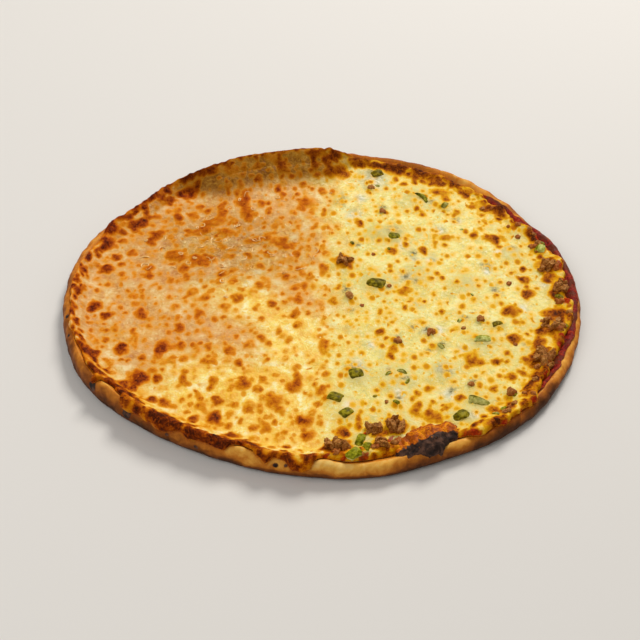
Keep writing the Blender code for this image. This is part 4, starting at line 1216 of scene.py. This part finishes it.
def make_cheese(material):
    count = CHEESE_RINGS
    across = np.arange(-count, count + 1, dtype=float)
    a, b = np.meshgrid(across, across, indexing="xy")
    a, b = a.ravel(), b.ravel()
    wide = abs(a) >= abs(b)
    safe_a, safe_b = np.where(a == 0, 1e-9, a), np.where(b == 0, 1e-9, b)
    angle = np.where(wide, 45.0 * b / safe_a + 180.0 * (a < 0),
                     90.0 - 45.0 * a / safe_b + 180.0 * (b < 0))
    share = np.maximum(abs(a), abs(b)) / count
    section = section_at(angle)
    outward = np.sin(CHEESE_EASE * share) / math.sin(CHEESE_EASE)
    run = cheese_stop(angle, section) * outward
    radius, _ = on_section(section, run, 0.0)
    flat = placed(angle, radius, 0.0)
    top, fields = cheese_surface(flat[:, 0], flat[:, 1], angle, run, section)

    side = 2 * count + 1
    grid = np.arange(side * side).reshape(side, side)
    corners = grid[:-1, :-1], grid[:-1, 1:], grid[1:, 1:], grid[1:, :-1]
    faces = np.stack(corners, axis=-1).reshape(-1, 4).tolist()

    ring = np.concatenate([grid[:-1, -1], grid[-1, :0:-1], grid[:0:-1, 0], grid[0, :-1]])
    angle = angle[ring]
    section = section_at(angle)
    stop = cheese_stop(angle, section)
    runs = (stop, np.minimum(crest_run(section), stop - GAP), ramp_foot(section))
    below = [placed(angle, *on_section(section, run, cheese_bottom(section, run)))
             for run in runs]
    middle = np.array([[0.0, 0.0, BASE + GAP + SAUCE_THICKNESS + GAP]])
    points = np.concatenate([top, *below, middle])
    for index in range(len(below)):
        lower = len(top) + len(ring) * index + np.arange(len(ring))
        faces += np.stack([ring, lower, np.roll(lower, -1), np.roll(ring, -1)], axis=-1).tolist()
        ring = lower
    faces += flipped(fan_faces(ring.tolist(), len(points) - 1))
    unseen = np.zeros(len(points) - len(top))
    fields = {name: np.concatenate([values, unseen]) for name, values in fields.items()}
    return make_mesh("cheese_top", material, points, faces, fields)


# ---------------------------------------------------------------- the crust

def crust_rings(angle, section):
    """Each ring of the crust: radius, height, which way its bumps go, bumpiness,
    baking with painted light and shade in it, charring and staining. They run from
    the foot of the ramp over the rim and back underneath."""
    stop = cheese_stop(angle, section)
    none = np.zeros_like(angle)
    tips = bumps(CHAR_TIPS, angle)

    def specks(radius, over):
        """Char in small patches, each an angle, a distance over the crest and a size."""
        return 1.3 * sum(bell(np.radians(apart(angle, at)) * radius / size)
                         * bell((over - place) / size) for at, place, size in CHAR_SPECKS)

    back = stretch(angle, *BACK_DOUGH)
    back_right = stretch(angle, *BACK_RIGHT_DOUGH)
    right = openness(angle)
    # Part of this darkening is painted shade, on the front left and below the blister; the lighter
    # front is painted light
    darker = 0.14 * right + sum(amount * stretch(angle, *where) for amount, *where in DARKER_RIM)
    line = 0.5 * stretch(angle, *BROWN_LINE)
    for share in np.linspace(0, 1, 9):
        run = mixed(ramp_foot(section), crest_run(section), share)
        bare = eased((run - stop) / 1.5)
        stain = np.exp(-np.maximum(run - stop, 0) / 3.0)
        yield (*on_section(section, run, 0.0), 0.0, bare, 0.35 + 0.2 * back, none, stain)
    for share in np.linspace(0, 1, 19)[1:]:
        over = share * round_run(section)
        run = crest_run(section) + over
        beyond = np.maximum(run - stop, 0.0)
        # Painted light and shade: the round is lightest at the crest and darker further down it
        bake = 0.16 + 0.2 * np.exp(-beyond / 1.5) + 0.3 * back + 0.45 * share ** 1.3 + darker
        bake = bake + line * bell((share - 0.68) / 0.16)
        stain = np.exp(-beyond / mixed(1.0, 4.5, back_right)) * (0.75 + 0.25 * right)
        radius, height = on_section(section, run, 0.0)
        char = specks(radius, over) + tips * bell(share / 0.35)
        yield radius, height, share * math.pi / 2, eased((run - stop) / 1.5), bake, char, stain
    for share in np.linspace(0, 1, 15)[1:]:
        # Painted shade: the wall darkens towards its foot
        bake = 0.66 + 0.6 * share ** 0.8 + 0.1 * back + 0.6 * darker
        radius, height = on_wall(section, share)
        char = specks(radius, round_run(section) + 5.0 * share)
        yield radius, height, math.pi / 2, 1.0 - 0.7 * share, bake, char, none
    foot = section.outer - FOOT_INSET
    for inset in UNDERSIDE_INSETS:
        height = section.lift * eased(1.0 - (inset - UNDERSIDE_INSETS[0]) / 16.0)
        bake = 0.6 + 0.3 * wander(angle, 20.0, inset)
        yield foot - inset, height, 0.0, 0.0, bake, none, none


def make_rim():
    """Points, faces and fields of the whole crust but for its blister."""
    angle = RIM_ANGLES
    rings, baked = [], []
    for radius, height, tilt, bumpy, bake, char, stain in crust_rings(angle, section_at(angle)):
        x, y, z = place = placed(angle, radius, height).T
        dents = sum(depth * ripple(*place, size) for depth, size in RIM_DENTS) * bumpy
        out, up = dents * math.sin(tilt), dents * math.cos(tilt)
        rings.append(placed(angle, radius + out, height + up))
        # Painted shade and light: the dough is darker in its dents and lighter on its bumps
        baked.append((bake + 0.14 * ripple(x, y, z, 18.0) - 0.12 * dents, char, stain))
    points = under_ceiling(np.concatenate(rings + [[[0.0, 0.0, BASE], [0.0, 0.0, 0.0]]]))
    baked.append(((0.4, 0.6), (0.0, 0.0), (0.0, 0.0)))
    fields = dict(zip(("bake", "char", "stain"), map(np.concatenate, zip(*baked))))
    return points, flipped(closed_faces(len(rings), RIM_STEPS)), fields


def sphere(level):
    """Directions and triangles of a ball, finer with each level."""
    shape = bmesh.new()
    bmesh.ops.create_icosphere(shape, subdivisions=level, radius=1.0)
    points = np.array([vertex.co[:] for vertex in shape.verts])
    faces = [tuple(vertex.index for vertex in face.verts) for face in shape.faces]
    shape.free()
    return points, faces


def window(value, low, high, ease):
    """1 from low to high, falling smoothly to 0 outside."""
    return eased((value - low) / ease + 0.5) * eased((high - value) / ease + 0.5)


def make_blister():
    """Points, faces and fields of the blister: charred in front, stained on top."""
    unit, triangles = sphere(6)
    uneven = 1.0 + 0.16 * ripple(*(unit * 2.0).T, 1.0)
    ball = unit * 0.5 * uneven[:, None]
    faces, lobes = [], []
    for number, (along, out, *size) in enumerate(BLISTER_LOBES):
        faces += shifted(triangles, len(unit) * number)
        lobes.append(ball * np.array(size) + (along, -out, size[2] / 2))
    outward, local = np.tile(unit, (len(lobes), 1)), np.concatenate(lobes)
    along, across, up = local.T
    facing = np.degrees(np.arctan2(up - 3.0, -across))
    facing = facing + 15.0 * ripple(*local.T, 5.0) + 9.0 * ripple(*local.T, 2.0)
    reach = along + 2.0 * ripple(*local.T, 4.0)
    char = window(facing, 2, 80, 14) * window(reach, -22.0, 17.0, 5.0)
    stain = np.maximum(eased((facing - 66) / 12), eased((reach - 13.0) / 4.0))
    # Painted shade: the blister's dough is darker low on its front
    bake = 0.66 + 0.25 * eased((26 - facing) / 30) + 0.1 * ripple(*local.T, 6.0)
    cracks = 0.6 * abs(ripple(along, across * 0.5, up * 0.5, 2.2)) - 0.2
    wrinkles = 0.5 * ripple(along, across * 0.4, up * 0.4, 1.9)
    crags = 0.5 * rough(*local.T, 5.0) + char * cracks + stain * wrinkles
    along, across, up = (local + outward * crags[:, None]).T
    x, y = turned(along, across, -math.radians(BLISTER_TURN))
    points = np.stack([BLISTER_X + x, BLISTER_Y + y, up + BASE - BLISTER_BURIED], axis=-1)
    return points, faces, dict(bake=bake, char=char, stain=stain)


def make_crust(material):
    return make_mesh("crust_baked", material, *together([make_rim(), make_blister()]))


# ---------------------------------------------------------------- the sauce

def make_sauce(material):
    angle = RIM_ANGLES
    section = section_at(angle)
    ragged = 1.5 * wander(angle, 5.0, 13.0) + 0.8 * wander(angle, 1.8, 17.0)
    stop = sauce_stop(section) + ragged * openness(angle)
    foot = ramp_foot(section)
    full = sauce_top(-SAUCE_TAPER)
    rows = [(foot, GAP), (stop, GAP)]
    for back in SAUCE_STEPS:
        lumps = 0.3 * wander(angle, 1.2, 15.0 + back) + 0.45 * wander(angle, 3.0, 19.0)
        lift = sauce_top(-back * 1.3) + lumps * min(back, 1.0)
        rows.append((np.maximum(stop - back, foot + 0.2), lift))
    rows.append((foot, full))
    points = [placed(angle, *on_section(section, run, lift)) for run, lift in rows]
    points = np.concatenate(points + [[[0, 0, BASE + GAP], [0, 0, BASE + full]]])
    return make_mesh("sauce_layer", material, points, closed_faces(len(rows), RIM_STEPS), {})


# ---------------------------------------------------------------- the toppings

def resting(spots):
    """Where toppings lie: level with the cheese and sunk into it. Each spot is
    a place, a turn and a depth."""
    reach = LEVEL_REACH
    x, y, turns, depths = np.array(spots, float).T
    offsets = ((0, 0), (reach, 0), (-reach, 0), (0, reach), (0, -reach))
    heights = np.array([cheese_top(x + dx, y + dy) for dx, dy in offsets])
    matrices = []
    for index, (turn, depth) in enumerate(zip(turns, depths)):
        _, right, left, back, front = heights[:, index]
        upright = Vector((left - right, front - back, 2 * reach)).normalized()
        leaning = Vector((0, 0, 1)).rotation_difference(upright).to_matrix().to_4x4()
        spot = Vector((x[index], y[index], heights[:, index].mean())) - float(depth) * upright
        spin = Matrix.Rotation(math.radians(turn), 4, "Z")
        matrices.append(np.array(Matrix.Translation(spot) @ leaning @ spin))
    return matrices


def moved(points, matrix):
    return points @ matrix[:3, :3].T + matrix[:3, 3]


def squared(unit, power):
    """A ball pressed towards a box with rounded edges."""
    return np.sign(unit) * abs(unit) ** power


def pepper_dice(unit, length, width, thickness, seed):
    """A diced piece of pepper: four cut sides at uneven angles, flat faces and a bow."""
    draw = np.random.RandomState(seed).random_sample(12)
    aims = np.radians(np.array([0, 90, 180, 270]) + 34 * (draw[:4] - 0.5))
    halves = np.array([length, width, length, width]) / 2 * (0.82 + 0.3 * draw[4:8])
    flat = np.hypot(unit[:, 0], unit[:, 1])
    aim = np.arctan2(unit[:, 1] * length, unit[:, 0] * width)
    pulls = [np.maximum(np.cos(aim - side), 0.0) / half for side, half in zip(aims, halves)]
    outline = sum(pull ** CUT_SHARPNESS for pull in pulls) ** (-1.0 / CUT_SHARPNESS)
    reach = outline * flat ** 0.3
    up = squared(unit[:, 2], 0.35)
    x, y = reach * np.cos(aim), reach * np.sin(aim)
    x, y = x + 0.35 * ripple(x, y, draw[8] * 9, 2.4), y + 0.35 * ripple(x, y, draw[9] * 9, 2.4)
    bow = PEPPER_BEND * (0.5 + draw[10]) * (0.3 * length - 4.0 * x * x / length)
    z = up * thickness / 2 * (1.0 + 0.5 * (draw[11] - 0.5) * x / length)
    z = z + bow - 0.5 * y * y / width + 0.22 * ripple(x, y, up, 2.0)
    if length > 3 * width:
        y = y - 1.2 * length * np.maximum(x / length, 0.0) ** 2
    skin = eased((up - 0.2) / 0.5) if draw[8] < 0.6 else eased((y / width - 0.1) / 0.3)
    return np.column_stack([x, y, z]), skin


def make_peppers(material):
    unit, faces = sphere(5)
    spots = resting([(piece.x, piece.y, piece.turn, (piece.sunk - 0.4) * PEPPER_THICKNESS)
                     for piece in PEPPERS])
    for number, (piece, spot) in enumerate(zip(PEPPERS, spots), start=1):
        local, skin = pepper_dice(unit, piece.length, piece.width, PEPPER_THICKNESS, number)
        item = make_mesh(f"pepper_piece_{number:02d}", material, moved(local, spot), faces,
                         dict(skin=skin, tone=piece.tone))
        hand_over(item, "pepper", f"pepper_{number:02d}")
    add_pepper_ring(material)


def add_pepper_ring(material):
    rings, sides = 60, 20
    turn = np.arange(sides) * math.tau / sides
    across, up = squared(np.cos(turn), 0.6), squared(np.sin(turn), 0.6)
    points = []
    for share in np.linspace(0, 1, rings):
        angle = mixed(RING_FROM, RING_TO, share)
        end = math.sqrt(max(1 - abs(2 * share - 1) ** 8, 0.02))
        radius = RING_RADIUS + across * RING_WIDTH / 2 * end + 0.5 * math.sin(angle / 25)
        dip = RING_DIP * math.sin(math.radians(2.2 * angle + 40)) ** 2
        points.append(placed(angle, radius, up * RING_HEIGHT / 2 * end - dip))
    points = np.concatenate(points + [[points[0].mean(0), points[-1].mean(0)]])
    skin = np.append(np.tile(eased((across + 0.4) / 0.6), rings), (0.0, 0.0))
    spot, = resting([(RING_X, RING_Y, 0.0, (RING_SUNK - 0.4) * RING_HEIGHT)])
    item = make_mesh("pepper_ring_arc", material, moved(points, spot),
                     closed_faces(rings, sides), dict(skin=skin, tone=RING_TONE))
    hand_over(item, "pepper", "pepper_ring")


def crumbly(unit, size, shift, depth, torn=(1.0, 1.0, 1.0)):
    """A ball roughened into a crumb of meat, with its crisp places. Meat that is torn
    has ridges that run along it."""
    ball = unit * 0.5
    uneven = 1.0 + 0.3 * ripple(*(ball * 3.0 + shift).T, 1.0)
    local = ball * np.array(size) * uneven[:, None]
    ridges = abs(rough(*(local * np.array(torn) + 9.0 * shift).T, 2.6))
    local = local + unit * (depth * (0.4 - 1.6 * ridges))[:, None]
    return local, eased((0.12 - ridges) / 0.14)


def chunk(unit, faces, piece, number):
    """A chunk of sausage: torn crumbs of all sizes stuck together."""
    parts = []
    size = np.array([piece.length, piece.width, piece.height])
    for lump in range(SAUSAGE_CRUMBS):
        draw = random.random_sample(9)
        share = 0.34 + 0.3 * draw[0]
        middle = (draw[1:4] - 0.5) * (1.0 - 0.75 * share) * 1.1 * size
        grain = size.mean() * share * np.array(GRAIN)
        local, crest = crumbly(unit, grain, number + 0.37 * lump, 1.1, TORN)
        around = Matrix.Rotation(math.pi * draw[4], 3, "Z")
        spin = around @ Matrix.Rotation(2.8 * (draw[5] - 0.5), 3, "Y")
        local = np.clip(local @ np.array(spin).T + middle, -size / 2 - 0.3, size / 2 + 0.4)
        up = local[:, 2] / size[2]
        fields = dict(crisp=crest * eased(up * 2.2 + 0.2) * (0.4 + 0.6 * draw[6]),
                      grease=draw[7] ** 2 * eased((0.3 - up) / 0.6 + 0.3))
        parts.append((local, faces, fields))
    return together(parts)


def make_sausages(material):
    unit, faces = sphere(4)
    spots = resting([(piece.x, piece.y, piece.turn, (piece.sunk - 0.45) * piece.height)
                     for piece in SAUSAGES])
    for number, (piece, spot) in enumerate(zip(SAUSAGES, spots), start=1):
        local, *rest = chunk(unit, faces, piece, number)
        item = make_mesh(f"sausage_piece_{number:02d}", material, moved(local, spot), *rest)
        hand_over(item, "sausage", f"sausage_{number:02d}")


def make_crumbs(pepper, sausage):
    """Crumbs and shavings held by the cheese, in their own colours."""
    unit, faces = sphere(3)
    meat, green = [], []
    places = list(CRUMBS)
    while len(places) < LOOSE_CRUMBS:
        draw = random.random_sample(5)
        radius, turn = CRUMB_FIELD * math.sqrt(draw[0]), math.tau * draw[1]
        x, y = radius * math.cos(turn), CRUMB_OVAL * radius * math.sin(turn)
        if x > CRUMBS_FROM_X:
            places.append((x, y, 2.8 + 1.6 * draw[2] ** 2, int(draw[3] < 0.4)))
    for start, end, count in RIM_CRUMBS:
        for draw in random.random_sample((count, 4)):
            angle = np.array([mixed(start, end, draw[0])])
            section = section_at(angle)
            run = cheese_stop(angle, section) - 1.5 - 8.5 * draw[1]
            x, y, _ = placed(angle, on_section(section, run, 0.0)[0], 0.0)[0]
            places.append((float(x), float(y), 2.8 + 3.0 * draw[2], int(draw[3] < 0.15)))
    spots = resting([(x, y, 67.0 * number, width * 0.03)
                     for number, (x, y, width, _) in enumerate(places)])
    for number, ((x, y, width, kind), spot) in enumerate(zip(places, spots)):
        shade = random.random_sample()
        if kind:
            local, skin = pepper_dice(unit, width * 1.1, width * 0.6, width * 0.35, 40 + number)
            green.append((moved(local, spot), faces, dict(skin=skin, tone=shade)))
        else:
            local, crest = crumbly(unit, (width, width * 0.85, width * 0.7), number, 0.1 * width)
            fields = dict(crisp=0.1 + 0.5 * crest, grease=shade)
            meat.append((moved(local, spot), faces, fields))
    hand_over(make_mesh("sausage_crumbs", sausage, *together(meat)), "sausage")
    hand_over(make_mesh("pepper_shavings", pepper, *together(green)), "pepper")


def shred_path(steps):
    """A wandering line in plan, or nothing where it would leave the plain half."""
    x = SHRED_MIDDLE[0] + SHRED_SPREAD[0] * random.normal()
    y = SHRED_MIDDLE[1] + SHRED_SPREAD[1] * random.normal()
    length = 4 + 9 * random.random_sample()
    heading = math.tau * random.random_sample()
    bend = random.normal() * 0.3
    turns = heading + np.cumsum(bend + 0.25 * random.normal(size=steps)) * length / 9
    path = np.column_stack([x + np.cumsum(np.cos(turns)) * length / steps,
                            y + np.cumsum(np.sin(turns)) * length / steps])
    edge = np.hypot(path[:, 0] / 0.97, path[:, 1] / 0.86).max()
    return path if path[:, 0].max() < 4 and edge < 132 and path[:, 1].min() > -10 else None


def make_shreds(material):
    """Curly shreds lying on the plain half, fused to the cheese."""
    sides, steps = 8, 22
    paths = []
    while len(paths) < SHRED_COUNT:
        path = shred_path(steps)
        if path is not None:
            paths.append(path)
    joined = np.concatenate(paths)
    heights = cheese_top(joined[:, 0], joined[:, 1]).reshape(-1, steps)
    turns = np.arange(sides) * math.tau / sides
    faces = flipped(closed_faces(steps, sides))
    parts = []
    for path, height in zip(paths, heights):
        width = 0.2 + 0.17 * random.random_sample()
        lifted = width * (1.3 * ripple(path[:, 0], path[:, 1], 61.0, 4.0) + 0.15)
        centre = np.column_stack([path, height + lifted])
        ahead = np.gradient(path, axis=0)
        ahead /= np.linalg.norm(ahead, axis=1)[:, None]
        side = np.column_stack([-ahead[:, 1], ahead[:, 0], np.zeros(steps)])
        thick = width * np.sqrt(np.clip(1 - abs(np.linspace(-1, 1, steps)) ** 4, 0.06, 1))
        ring = side[:, None] * np.cos(turns)[None, :, None] * SHRED_REACH
        ring = ring + np.array([0, 0, 1.0]) * np.sin(turns)[None, :, None]
        points = (centre[:, None] + thick[:, None, None] * ring).reshape(-1, 3)
        points = np.concatenate([points, centre[[0, -1]]])
        parts.append((points, faces, dict(golden=random.random_sample())))
    hand_over(make_mesh("cheese_shreds", material, *together(parts)), "cheese")


# ---------------------------------------------------------------- camera, floor, light

def add_camera():
    camera = bpy.data.cameras.new("camera")
    camera.lens = CAMERA_LENS
    camera.sensor_width = CAMERA_SENSOR
    camera.clip_start = 0.01
    item = add_object("camera", camera)
    forward = Vector((0.0, math.cos(CAMERA_ELEVATION), -math.sin(CAMERA_ELEVATION)))
    right = Vector((1.0, 0.0, 0.0))
    up = right.cross(forward)
    turn = Matrix((*turned(right, up, CAMERA_ROLL), -forward)).transposed().to_4x4()
    item.matrix_world = Matrix.Translation(Vector(CAMERA_PLACE) * MM) @ turn
    bpy.context.scene.camera = item


def add_light(name, place, size, watts, warmth):
    light = bpy.data.lights.new(name, "AREA")
    light.shape = "DISK"
    light.size = size
    light.energy = watts
    light.color = warmth
    item = add_object(name, light)
    item.location = place
    item.rotation_euler = (-Vector(place)).to_track_quat("-Z", "Y").to_euler()


def add_studio():
    floor = bpy.data.meshes.new("floor")
    near, far = -FLOOR_REACH, FLOOR_REACH
    floor.from_pydata([(near, near, 0), (far, near, 0), (far, far, 0), (near, far, 0)],
                      [], [(0, 1, 2, 3)])
    paper = bpy.data.materials.new("floor")
    paper.use_nodes = True
    inputs = paper.node_tree.nodes["Principled BSDF"].inputs
    inputs["Base Color"].default_value = linear(222, 218, 212)
    inputs["Roughness"].default_value = 0.8
    floor.materials.append(paper)
    item = add_object("floor", floor)
    world = bpy.data.worlds.new("studio")
    world.use_nodes = True
    inputs = world.node_tree.nodes["Background"].inputs
    inputs["Color"].default_value = (1.0, 0.985, 0.96, 1.0)
    inputs["Strength"].default_value = 0.36
    bpy.context.scene.world = world
    add_light("key", (0.6, 1.5, 1.6), 0.9, 38.0, (1.0, 0.975, 0.94))
    add_light("fill", (-0.9, -0.5, 1.1), 1.2, 6.0, (0.97, 0.98, 1.0))
    bpy.context.scene.view_settings.view_transform = "Standard"


# ---------------------------------------------------------------- the pizza

def make_pizza():
    hand_over(make_crust(crust_looks()), "crust", "crust")
    hand_over(make_sauce(sauce_looks()), "sauce", "sauce")
    hand_over(make_cheese(cheese_looks()), "cheese", "cheese")
    pepper, sausage = pepper_looks(), sausage_looks()
    make_peppers(pepper)
    make_sausages(sausage)
    make_crumbs(pepper, sausage)
    make_shreds(shred_looks())


make_pizza()
add_camera()
add_studio()
